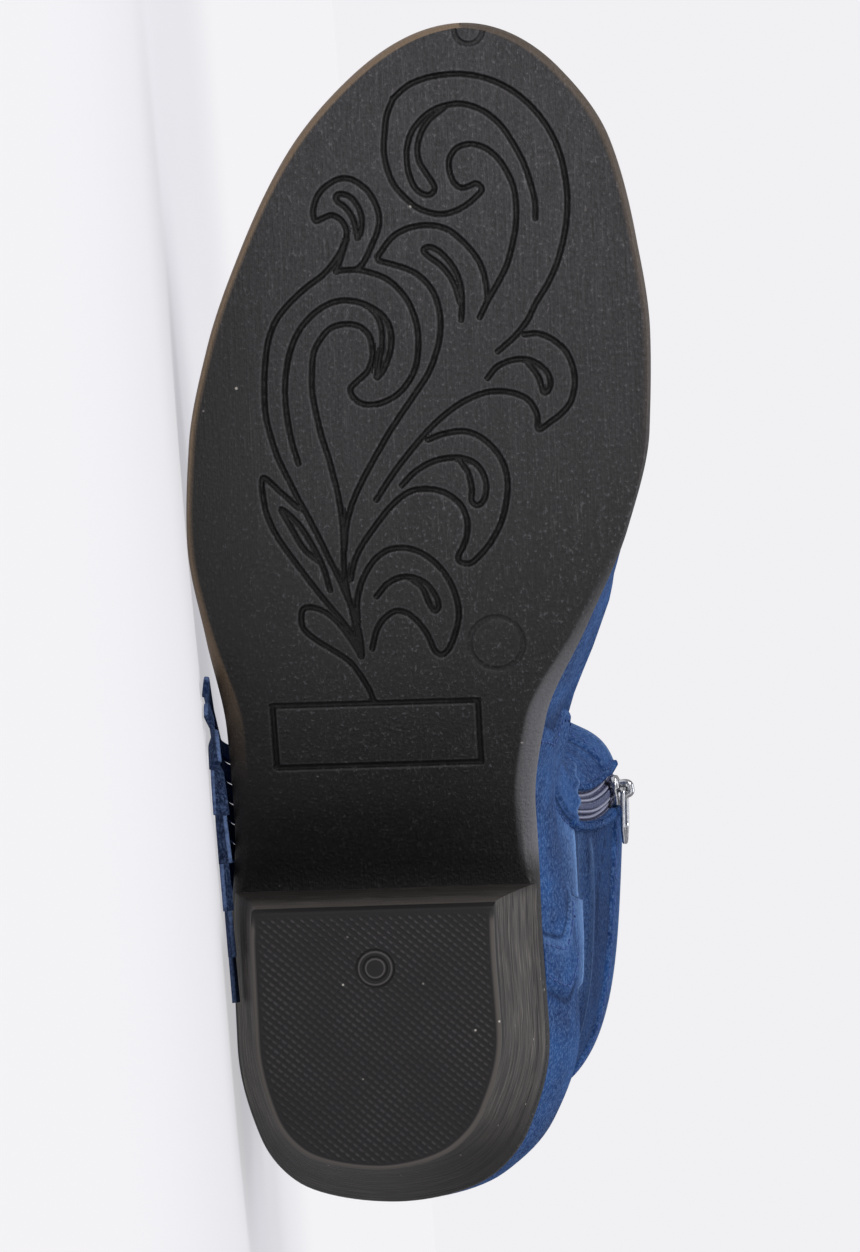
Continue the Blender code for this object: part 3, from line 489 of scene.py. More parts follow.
class UpperForm:
    """Outer face of the upper as rings from the feather line, level 0, to the collar, level 1."""

    COLUMNS = ("back_y", "back_rise", "front_y", "front_rise", "heel", "waist", "ball", "dome", "shaft",
               "girth", "follow", "warp", "blunt")
    RINGS = np.array((
        (0.006, 0.000, 0.983, 0.000, 1.00, 1.00, 1.00, 90.0, 0.00, 0.80, 1.00, 1.00, 1.00),
        (-0.001, 0.050, 0.986, 0.080, 1.06, 1.05, 1.030, 80.0, 0.00, 0.80, 0.86, 1.00, 0.95),
        (-0.006, 0.120, 0.979, 0.175, 1.13, 1.10, 1.040, 60.0, 0.00, 0.80, 0.66, 1.00, 0.90),
        (-0.006, 0.195, 0.944, 0.265, 1.18, 1.12, 1.030, 24.0, 0.00, 0.80, 0.46, 0.93, 0.85),
        (-0.004, 0.265, 0.862, 0.340, 1.20, 1.12, 1.010, 9.0, 0.02, 0.80, 0.27, 0.82, 0.80),
        (0.000, 0.335, 0.752, 0.435, 1.18, 1.08, 1.000, 6.0, 0.10, 0.80, 0.13, 0.72, 0.74),
        (0.006, 0.415, 0.640, 0.570, 1.14, 1.03, 1.000, 4.6, 0.25, 0.80, 0.05, 0.62, 0.68),
        (0.012, 0.505, 0.539, 0.760, 1.10, 1.00, 1.000, 3.8, 0.45, 0.81, 0.00, 0.55, 0.62),
        (0.016, 0.600, 0.467, 1.000, 1.08, 1.00, 1.000, 3.2, 0.66, 0.84, 0.00, 0.50, 0.57),
        (0.018, 0.705, 0.432, 1.240, 1.06, 1.00, 1.000, 2.9, 0.84, 0.88, 0.00, 0.47, 0.53),
        (0.016, 0.810, 0.424, 1.490, 1.04, 1.00, 1.000, 2.6, 0.95, 0.93, 0.00, 0.466, 0.50),
        (0.012, 0.910, 0.430, 1.750, 1.04, 1.00, 1.000, 2.5, 1.00, 0.97, 0.00, 0.466, 0.50),
        (0.008, 1.000, 0.438, 2.000, 1.04, 1.00, 1.000, 2.4, 1.00, 1.00, 0.00, 0.466, 0.50),
    ))

    def __init__(self, sole: SoleForm, sizes: UpperSizes) -> None:
        """Keeps the sole that it stands on and its sizes."""
        self.sole = sole
        self.sizes = sizes

    def ring(self, level: Array) -> dict[str, Array]:
        """Named sizes of the ring at a level, in metres where they are lengths."""
        z, s, length = self.sizes, self.sole, self.sole.sizes.length
        at = np.linspace(0, 1, len(self.RINGS))
        v = {name: blend(level, at, self.RINGS[:, i]) for i, name in enumerate(self.COLUMNS)}
        seat = s.topside(self.RINGS[0, 0] * length) + s.sizes.gap
        toe = s.topside(self.RINGS[0, 2] * length) + s.sizes.gap
        v["back_z"] = seat + v["back_rise"] * (z.collar_back - seat)
        v["front_z"] = toe + np.clip(v["front_rise"], 0, 1) * (z.instep - toe)
        v["front_z"] = v["front_z"] + np.clip(v["front_rise"] - 1, 0, 1) * (z.collar_front - z.instep)
        v["back_y"] = v["back_y"] * length
        reach = np.clip((v["shaft"] - 0.6) / 0.4, 0, 1)
        front = self.RINGS[-1, 0] * length + z.collar_length
        v["front_y"] = v["front_y"] * length + reach * (front - self.RINGS[-1, 2] * length)
        return v

    def surface(self, side: int, place: Array, level: Array) -> Array:
        """Points of the outer face.

        Each ring is the sole's outline drawn in by the flange, swollen and closed in front by a power
        of the share, blended into the collar's oval, and risen from its back to its front.

        Args:
            side: 1 for the outer side, -1 for the inner.
            place: 0 at the back to 1 at the front.
            level: 0 at the feather line to 1 at the collar, of the same shape.

        Returns:
            Points with a last axis of 3.
        """
        z, ring = self.sizes, self.ring(level)
        total = self.sole.sizes.length
        length = total * (self.RINGS[0, 2] - self.RINGS[0, 0])
        span = ring["front_y"] - ring["back_y"]
        turn = np.clip(place / z.counter_back, 0, 1) * math.pi / 2
        behind = z.counter_back ** ring["warp"] * (1 - np.abs(np.cos(turn)) ** ring["blunt"])
        share = np.where(place < z.counter_back, behind, np.clip(place, 1e-9, 1) ** ring["warp"])
        y = ring["back_y"] + span * share
        along = share * np.minimum(span / length, 1)
        base_centre, base_half = self.sole.outline(along)
        _, flange = self.sole.edge(along)
        inset = flange * np.clip(np.maximum(base_half, 1e-9) / (0.25 * self.sole.sizes.ball), 0, 1)
        to_waist = np.clip((along - 0.22) / 0.16, 0, 1)
        to_ball = np.clip((along - 0.38) / 0.22, 0, 1)
        swell = ring["heel"] + (ring["waist"] - ring["heel"]) * to_waist
        swell = swell + (ring["ball"] - ring["waist"]) * to_ball
        swell = 1 + (swell - 1) * np.where(side > 0, z.outer_swell, 1.0)
        dome = np.sqrt(np.clip(1 - np.clip(share, 0, 1) ** ring["dome"], 0, 1))
        tall = ring["shaft"]
        back = np.clip(1 - share / z.widest, 0, 1)
        front = np.clip((share - z.widest) / (1 - z.widest), 0, 1)
        oval = (1 - back**4) ** 0.25 * (1 - 0.10 * back) * (1 - front**2.4) ** (1 / 2.4)
        half = (1 - tall) * np.maximum(base_half - inset, 0) * swell * dome
        half = half + tall * ring["girth"] * z.collar_width / 2 * oval
        x = base_centre * (1 - tall) + tall * z.collar_shift + side * half
        height = ring["back_z"] + (ring["front_z"] - ring["back_z"]) * share
        feather = self.RINGS[0, 0] * total + length * along
        seat, toe = (self.sole.topside(self.RINGS[0, k] * total) for k in (0, 2))
        height = height + ring["follow"] * (self.sole.topside(feather) - (seat + (toe - seat) * along))
        return np.stack([x, y, height], -1)

    def normal(self, side: int, place: Array, level: Array) -> Array:
        """Outward unit normals from short steps along the ring and up the wall."""
        a, b = np.clip(place - 2e-3, 0, 1), np.clip(place + 2e-3, 0, 1)
        c, d = np.clip(level - 2e-3, 0, 1), np.clip(level + 2e-3, 0, 1)
        across = self.surface(side, b, level) - self.surface(side, a, level)
        up = self.surface(side, place, d) - self.surface(side, place, c)
        return unit(np.cross(across, up) * side)

    def offset(self, side: int, place: Array, level: Array, lift: Array) -> Array:
        """Points that stand off the face by lift, with both rims kept level and the foot on the sole."""
        place, level = np.broadcast_arrays(np.asarray(place, float), np.asarray(level, float))
        normal = self.normal(side, place, level)
        normal[..., 0] *= np.where((place < 1e-9) | (place > 1 - 1e-9), 0, 1)
        normal[..., 2] *= smooth(np.minimum(level, 1 - level), 0, 0.02)
        points = self.surface(side, place, level) + unit(normal) * np.asarray(lift)[..., None]
        sole = self.sole
        foot = sole.topside(np.clip(points[..., 1], 0, sole.sizes.length)) + sole.sizes.gap
        points[..., 2] = np.where(level < 1e-9, foot, points[..., 2])
        return points

    def slit(self, level: Array) -> tuple[Array, Array, Array, Array, Array]:
        """Middle of the zip slit at each level, with unit vectors to the front, up and out, and its width."""
        z = self.sizes

        def ends(at: Array) -> tuple[Array, Array]:
            """Back and front edge of the slit at a level."""
            places = (z.vamp_seam + z.seam, z.zip_front)
            return tuple(self.surface(-1, np.full_like(at, place), at) for place in places)

        level = np.asarray(level, float)
        back, front = ends(level)
        high = np.minimum(level + 0.01, 1.0)
        up = sum(ends(high)) / 2 - sum(ends(high - 0.02)) / 2
        width = np.linalg.norm(front - back, axis=-1)
        across = (front - back) / width[..., None]
        outward = unit(np.cross(up, across))
        return (back + front) / 2, across, np.cross(across, outward), outward, width

    def band_level(self) -> float:
        """Level at which the collar band starts."""
        levels = np.linspace(0.5, 1, 201)
        height = self.sizes.collar_back - self.sizes.collar_band
        return float(np.interp(height, self.ring(levels)["back_z"], levels))


# materials


class Node(Enum):
    """Nodes of the materials: type, output, inputs in the order in which they are given, settings."""

    ADD = ("Math", 0, (0, 1), {"operation": "ADD"})
    SUBTRACT = ("Math", 0, (0, 1), {"operation": "SUBTRACT"})
    MULTIPLY = ("Math", 0, (0, 1), {"operation": "MULTIPLY"})
    ABSOLUTE = ("Math", 0, (0,), {"operation": "ABSOLUTE"})
    SINE = ("Math", 0, (0,), {"operation": "SINE"})
    COSINE = ("Math", 0, (0,), {"operation": "COSINE"})
    LENGTH = ("VectorMath", 1, (0,), {"operation": "LENGTH"})
    STRETCH = ("VectorMath", 0, (0, 1), {"operation": "MULTIPLY"})
    TURN = ("VectorRotate", 0, ("Vector", "Angle"), {"rotation_type": "Z_AXIS"})
    X = ("SeparateXYZ", 0, (0,), {})
    Y = ("SeparateXYZ", 1, (0,), {})
    OBJECT = ("TexCoord", 3, (), {})
    BOOT = ("Attribute", 1, (), {"attribute_name": "boot"})
    VALUE = ("Attribute", 2, (), {})
    NOISE = ("TexNoise", 0, ("Vector", "Scale", "Detail", "Roughness"), {})
    DOTS = ("TexVoronoi", 0, ("Vector", "Scale"), {})
    RAMP = ("MapRange", 0, ("Value", "From Min", "From Max", "To Min", "To Max"),
            {"interpolation_type": "SMOOTHSTEP"})
    MIX = ("Mix", 2, (0, 6, 7), {"data_type": "RGBA"})
    BUMP = ("Bump", 0, ("Height", "Distance", "Strength", "Normal"), {})


class Graph:
    """One Principled material built node by node."""

    def __init__(self, name: str, **values: object) -> None:
        """Starts the material with constants on the shader's sockets."""
        self.material = bpy.data.materials.new(name)
        self.material.use_nodes = True
        self.tree = self.material.node_tree
        self.shader = self.tree.nodes["Principled BSDF"]
        self.set(self.shader, {key.replace("_", " "): value for key, value in values.items()})

    def set(self, node: bpy.types.Node, values: dict) -> None:
        """Gives each input a constant or a link; a word is the name of a value on the points."""
        for key, value in values.items():
            if isinstance(value, str):
                value = self.add(Node.VALUE, attribute_name=value)
            if isinstance(value, bpy.types.NodeSocket):
                self.tree.links.new(value, node.inputs[key])
            else:
                node.inputs[key].default_value = value

    def add(self, kind: Node, *values: object, **settings: object) -> bpy.types.NodeSocket:
        """Adds a node with its settings and inputs.

        Args:
            kind: Which node.
            values: A constant, a socket or the name of a value for each input, in the kind's order.
            settings: Further settings, over the kind's own.

        Returns:
            The node's output socket.
        """
        name, out, inputs, fixed = kind.value
        node = self.tree.nodes.new("ShaderNode" + name)
        for key, value in {**fixed, **settings}.items():
            setattr(node, key, value)
        self.set(node, dict(zip(inputs, values)))
        return node.outputs[out]

    def place(self, scale: tuple[float, float, float] = (1, 1, 1), turn: float = 0.0) -> bpy.types.NodeSocket:
        """The boot's millimetres, turned about z and stretched."""
        where = self.add(Node.BOOT)
        if turn:
            where = self.add(Node.TURN, where, turn)
        return self.add(Node.STRETCH, where, scale)

    def finish(self, **values: object) -> bpy.types.Material:
        """Wires the last inputs of the shader and returns the material."""
        self.set(self.shader, {key.replace("_", " "): value for key, value in values.items()})
        return self.material


@dataclass(frozen=True)
class Suede:
    """Brushed blue suede: short nap, cloudy tone, pale fuzzy nap at cut edges and grazing angles, with
    painted highlight and painted shade from the values on the points.
    """

    name: str
    face: str = "22467b"
    deep: str = "10224a"
    pale: str = "6a8ab9"
    seam: str = "0b1430"
    nap: float = 0.00022

    def material(self) -> bpy.types.Material:
        """The nap is two noises in bump; the values "fuzz", "dark" and "grain" paint it."""
        g = Graph(self.name, Roughness=0.95, Specular_IOR_Level=0.05, Sheen_Weight=0.12, Sheen_Roughness=0.5)
        where = g.place()
        cloud = g.add(Node.NOISE, where, 0.055, 3.0, 0.6)
        nap = g.add(Node.NOISE, where, 1.15, 3.0, 0.65)
        hair = g.add(Node.NOISE, g.place((1.0, 1.0, 0.55)), 3.2, 2.0, 0.6)
        tone = g.add(Node.MIX, g.add(Node.RAMP, cloud, 0.32, 0.70), linear(self.deep), linear(self.face))
        tone = g.add(Node.MIX, g.add(Node.RAMP, nap, 0.36, 0.72, 0.0, 0.46), tone, linear(self.pale))
        tone = g.add(Node.MIX, g.add(Node.RAMP, hair, 0.55, 0.32, 0.0, 0.60), tone, linear(self.deep))
        cells = g.add(Node.DOTS, where, 0.85)
        pebble = g.add(Node.MULTIPLY, g.add(Node.RAMP, cells, 0.15, 0.62), "grain")
        tone = g.add(Node.MIX, g.add(Node.MULTIPLY, "grain", 0.30), tone, linear(self.deep))
        # painted shade: the crevices between the pebbles darkened
        tone = g.add(Node.MIX, g.add(Node.MULTIPLY, pebble, 0.36), tone, linear(self.seam))
        # pale fuzzy cut edges, together with painted highlight over the overlay and along the shaft's ridge
        fuzz = g.add(Node.MULTIPLY, "fuzz", g.add(Node.RAMP, nap, 0.25, 0.62, 0.45, 1.0), use_clamp=True)
        tone = g.add(Node.MIX, fuzz, tone, linear(self.pale))
        # dark seams, together with painted shade under the collar band, beside the overlay's edge, in folds
        # and at the foot of the wall
        dark = g.add(Node.MULTIPLY, "dark", 1.0, use_clamp=True)
        tone = g.add(Node.MIX, dark, tone, linear(self.seam))
        bump = g.add(Node.BUMP, nap, self.nap, 1.0)
        bump = g.add(Node.BUMP, hair, self.nap * 0.5, 1.0, bump)
        bump = g.add(Node.BUMP, g.add(Node.MULTIPLY, pebble, -1.0), 0.00035, 1.0, bump)
        return g.finish(Base_Color=tone, Normal=bump, Sheen_Tint=linear("7f9fd8"))


@dataclass(frozen=True)
class SoleRubber:
    """Moulded charcoal rubber with fine streaks along the foot, engraved lines, dust and a tan rim, with
    painted shade towards the waist, on the outer side and in the lines, and painted highlight on the lines'
    lips and the inner waist edge.
    """

    name: str
    toe: str = "373638"
    waist: str = "272626"
    shaded_groove: str = "0b0b0b"
    rim: str = "8c755c"
    dust: str = "9a968f"

    def material(self) -> bpy.types.Material:
        """Streaks are noise stretched along y; grooves come from "line", "near" and "cut" on the points and
        are painted dark as shade.
        """
        g = Graph(self.name, Specular_IOR_Level=0.25)
        y = g.add(Node.Y, g.place())
        streak = g.add(Node.NOISE, g.place((2.6, 0.055, 1.0)), 1.0, 3.0, 0.65)
        broad = g.add(Node.NOISE, g.place((0.35, 0.02, 0.2)), 1.0, 2.0, 0.5)
        # painted shade: darker from the toe back to the waist
        tone = g.add(Node.MIX, g.add(Node.RAMP, y, 95.0, 235.0), linear(self.waist), linear(self.toe))
        tone = g.add(Node.MIX, g.add(Node.RAMP, streak, 0.60, 0.38, 0.0, 0.42), tone, linear("1f1e1e"))
        tone = g.add(Node.MIX, g.add(Node.RAMP, streak, 0.58, 0.78, 0.0, 0.35), tone, linear("6d6b6b"))
        tone = g.add(Node.MIX, g.add(Node.RAMP, broad, 0.40, 0.75, 0.0, 0.25), tone, linear("242222"))
        fine = g.add(Node.NOISE, g.place((1.0, 0.75, 1.0)), 1.5, 2.0, 0.6)
        tone = g.add(Node.MIX, g.add(Node.RAMP, fine, 0.52, 0.34, 0.0, 0.45), tone, linear("1a1919"))
        tone = g.add(Node.MIX, g.add(Node.RAMP, fine, 0.58, 0.74, 0.0, 0.30), tone, linear("77757a"))
        # painted shade: darker towards the outer side
        outer = g.add(Node.RAMP, g.add(Node.X, g.place()), 5.0, 42.0, 0.0, 0.75)
        tone = g.add(Node.MIX, outer, tone, linear("191818"))
        line = g.add(Node.ABSOLUTE, "line")
        open_near = g.add(Node.RAMP, "near", 0.86, 0.72)
        # painted shade: the engraved grooves darkened
        shaded_groove = g.add(Node.MULTIPLY, g.add(Node.RAMP, line, 0.74, 0.20), open_near)
        shaded_groove = g.add(Node.MULTIPLY, shaded_groove, "cut")
        tone = g.add(Node.MIX, g.add(Node.MULTIPLY, shaded_groove, 0.92), tone, linear(self.shaded_groove))
        # painted highlight: a faint pale edge beside each groove
        lip_highlight = g.add(Node.MULTIPLY, g.add(Node.RAMP, "near", 0.70, 0.84), g.add(Node.RAMP, "near", 1.25, 0.90))
        lip_highlight = g.add(Node.MULTIPLY, g.add(Node.MULTIPLY, lip_highlight, "cut"), 0.06)
        tone = g.add(Node.MIX, lip_highlight, tone, linear("8a888c"))
        specks = g.add(Node.RAMP, g.add(Node.DOTS, g.place(), 0.13), 0.055, 0.02)
        wide = g.add(Node.RAMP, g.add(Node.NOISE, g.place(), 0.03, 2.0), 0.45, 0.62)
        tone = g.add(Node.MIX, g.add(Node.MULTIPLY, specks, wide), tone, linear(self.dust))
        tone = g.add(Node.MIX, "rim", tone, linear(self.rim))
        # painted highlight from the value "pale" on the inner waist edge and wall
        tone = g.add(Node.MIX, "pale", tone, linear("77767a"))
        # painted shade on the tread just ahead of the heel breast
        tone = g.add(Node.MIX, "dark", tone, linear("0e0d0d"))
        bump = g.add(Node.BUMP, streak, 0.00022, 0.8)
        bump = g.add(Node.BUMP, fine, 0.00028, 1.0, bump)
        bump = g.add(Node.BUMP, g.add(Node.MULTIPLY, shaded_groove, -1.0), 0.0008, 1.0, bump)
        rough = g.add(Node.RAMP, streak, 0.3, 0.7, 0.50, 0.66)
        return g.finish(Base_Color=tone, Normal=bump, Roughness=rough)


@dataclass(frozen=True)
class HeelStack:
    """Moulded heel side that copies stacked layers: fine uneven lines round the heel, with painted shade up
    the breast and towards the back.
    """

    name: str
    face: str = "474442"
    dark: str = "1d1b1a"
    light: str = "79746d"

    def material(self) -> bpy.types.Material:
        """Layers are noise squeezed along z, so that they run level round the heel."""
        g = Graph(self.name, Specular_IOR_Level=0.18, Roughness=0.62)
        layer = g.add(Node.NOISE, g.place((0.02, 0.02, 1.25)), 1.0, 3.0, 0.75)
        fine = g.add(Node.NOISE, g.place((0.10, 0.10, 3.4)), 1.0, 2.0, 0.6)
        tone = g.add(Node.MIX, g.add(Node.RAMP, layer, 0.56, 0.40, 0.0, 0.95), linear(self.face),
                     linear(self.dark))
        tone = g.add(Node.MIX, g.add(Node.RAMP, fine, 0.52, 0.70, 0.0, 0.75), tone, linear(self.light))
        tone = g.add(Node.MIX, "rim", tone, linear("504c48"))
        # painted shade from the value "dark": the breast under the sole and the back of the block
        tone = g.add(Node.MIX, "dark", tone, linear("161413"))
        specks = g.add(Node.RAMP, g.add(Node.DOTS, g.place(), 0.16), 0.05, 0.02)
        tone = g.add(Node.MIX, g.add(Node.MULTIPLY, specks, 0.7), tone, linear("a8a29a"))
        bump = g.add(Node.BUMP, g.add(Node.ADD, layer, g.add(Node.MULTIPLY, fine, 0.4)), 0.00030, 1.0)
        return g.finish(Base_Color=tone, Normal=bump)


@dataclass(frozen=True)
class LiftRubber:
    """Top lift: near-black rubber with rows of small raised dashes and a bare round plug; the dashes, the
    ground edge and the inner edge of each plug ring carry painted highlight, and the plug's ring grooves
    carry painted shade.
    """

    name: str
    face: str = "1c1b1c"
    raised: str = "3b393a"

    def material(self) -> bpy.types.Material:
        """Dashes are the product of two waves, one across the diagonal rows and one along them."""
        g = Graph(self.name, Specular_IOR_Level=0.22, Roughness=0.66)
        where = g.place((1.0, 1.0, 0.0), math.radians(-40))
        across = g.add(Node.SINE, g.add(Node.MULTIPLY, g.add(Node.Y, where), 2 * math.pi / 1.35))
        along = g.add(Node.SINE, g.add(Node.MULTIPLY, g.add(Node.X, where), 2 * math.pi / 1.6))
        dash = g.add(Node.MULTIPLY, g.add(Node.RAMP, across, -0.1, 0.7),
                     g.add(Node.RAMP, along, -0.8, 0.1, 0.25, 1.0))
        dash = g.add(Node.MULTIPLY, dash, "knurl")
        patchy = g.add(Node.NOISE, g.place(), 0.06, 3.0)
        shown = g.add(Node.MULTIPLY, dash, g.add(Node.RAMP, patchy, 0.3, 0.7, 0.45, 1.0))
        # painted highlight: the raised dashes lighter, unevenly in patches
        tone = g.add(Node.MIX, shown, linear(self.face), linear(self.raised))
        # painted highlight on the rounded ground edge
        tone = g.add(Node.MIX, g.add(Node.MULTIPLY, "rim", 0.6), tone, linear("5d5955"))
        # painted shade in the plug's two ring grooves
        rings = g.add(Node.ADD, self.ring(g, 3.95), self.ring(g, 2.45), use_clamp=True)
        tone = g.add(Node.MIX, g.add(Node.MULTIPLY, rings, 0.8), tone, linear("0a0a0a"))
        # painted highlight just inside each ring groove
        glint = g.add(Node.ADD, self.ring(g, 3.55), self.ring(g, 2.05), use_clamp=True)
        tone = g.add(Node.MIX, g.add(Node.MULTIPLY, glint, 0.5), tone, linear("5a5857"))
        specks = g.add(Node.RAMP, g.add(Node.DOTS, g.place(), 0.17), 0.06, 0.02)
        wide = g.add(Node.RAMP, g.add(Node.NOISE, g.place(), 0.05, 2.0), 0.45, 0.6)
        tone = g.add(Node.MIX, g.add(Node.MULTIPLY, specks, wide), tone, linear("a8a49c"))
        bump = g.add(Node.BUMP, dash, 0.00035, 1.0)
        bump = g.add(Node.BUMP, rings, -0.0004, 1.0, bump)
        return g.finish(Base_Color=tone, Normal=bump)

    def ring(self, g: Graph, radius: float) -> bpy.types.NodeSocket:
        """Thin ring at a distance in millimetres from the plug's middle."""
        return g.add(Node.RAMP, g.add(Node.ABSOLUTE, g.add(Node.SUBTRACT, "plug", radius)), 0.32, 0.10)


@dataclass(frozen=True)
class Plain:
    """Material of one colour with a fine noise in tone and bump."""

    name: str
    face: str
    dark: str
    roughness: float = 0.8
    metallic: float = 0.0
    scale: float = 0.8
    depth: float = 0.0001

    def material(self) -> bpy.types.Material:
        """Noise between two tones, with the same noise in bump."""
        g = Graph(self.name, Roughness=self.roughness, Metallic=self.metallic)
        noise = g.add(Node.NOISE, g.place(), self.scale, 3.0, 0.6)
        tone = g.add(Node.MIX, g.add(Node.RAMP, noise, 0.3, 0.7), linear(self.dark), linear(self.face))
        tone = g.add(Node.MIX, "dark", tone, linear("10121c"))
        return g.finish(Base_Color=tone, Normal=g.add(Node.BUMP, noise, self.depth, 1.0))


@dataclass(frozen=True)
class ZipTapeCloth:
    """Woven zip tape: grey-lilac ribs along the zip, with painted shade in dark navy between them."""

    name: str
    face: str = "8f92a8"
    dark: str = "23284a"
    PITCH = 1.35

    def material(self) -> bpy.types.Material:
        """Ribs are a cosine of "rib", the millimetres across the tape."""
        g = Graph(self.name, Roughness=0.82, Specular_IOR_Level=0.25)
        rib = g.add(Node.COSINE, g.add(Node.MULTIPLY, "rib", 2 * math.pi / self.PITCH))
        weave = g.add(Node.NOISE, g.place(), 2.4, 2.0, 0.6)
        # painted shade: the valleys between the ribs dark navy
        tone = g.add(Node.MIX, g.add(Node.RAMP, rib, -0.55, 0.15), linear(self.dark), linear(self.face))
        tone = g.add(Node.MIX, g.add(Node.RAMP, weave, 0.45, 0.75, 0.0, 0.35), tone, linear("c3c5d3"))
        tone = g.add(Node.MIX, "dark", tone, linear(self.dark))
        return g.finish(Base_Color=tone, Normal=g.add(Node.BUMP, g.add(Node.ADD, rib, weave), 0.00018, 1.0))


# the engraved ornament


def arc(x: float, y: float, radius: float, start: float = 0.0, end: float = 360.0) -> tuple:
    """Points of a round stroke, angles in degrees."""
    turn = np.radians(np.linspace(start, end, 25))
    return tuple(zip(x + radius * np.cos(turn), y + radius * np.sin(turn)))


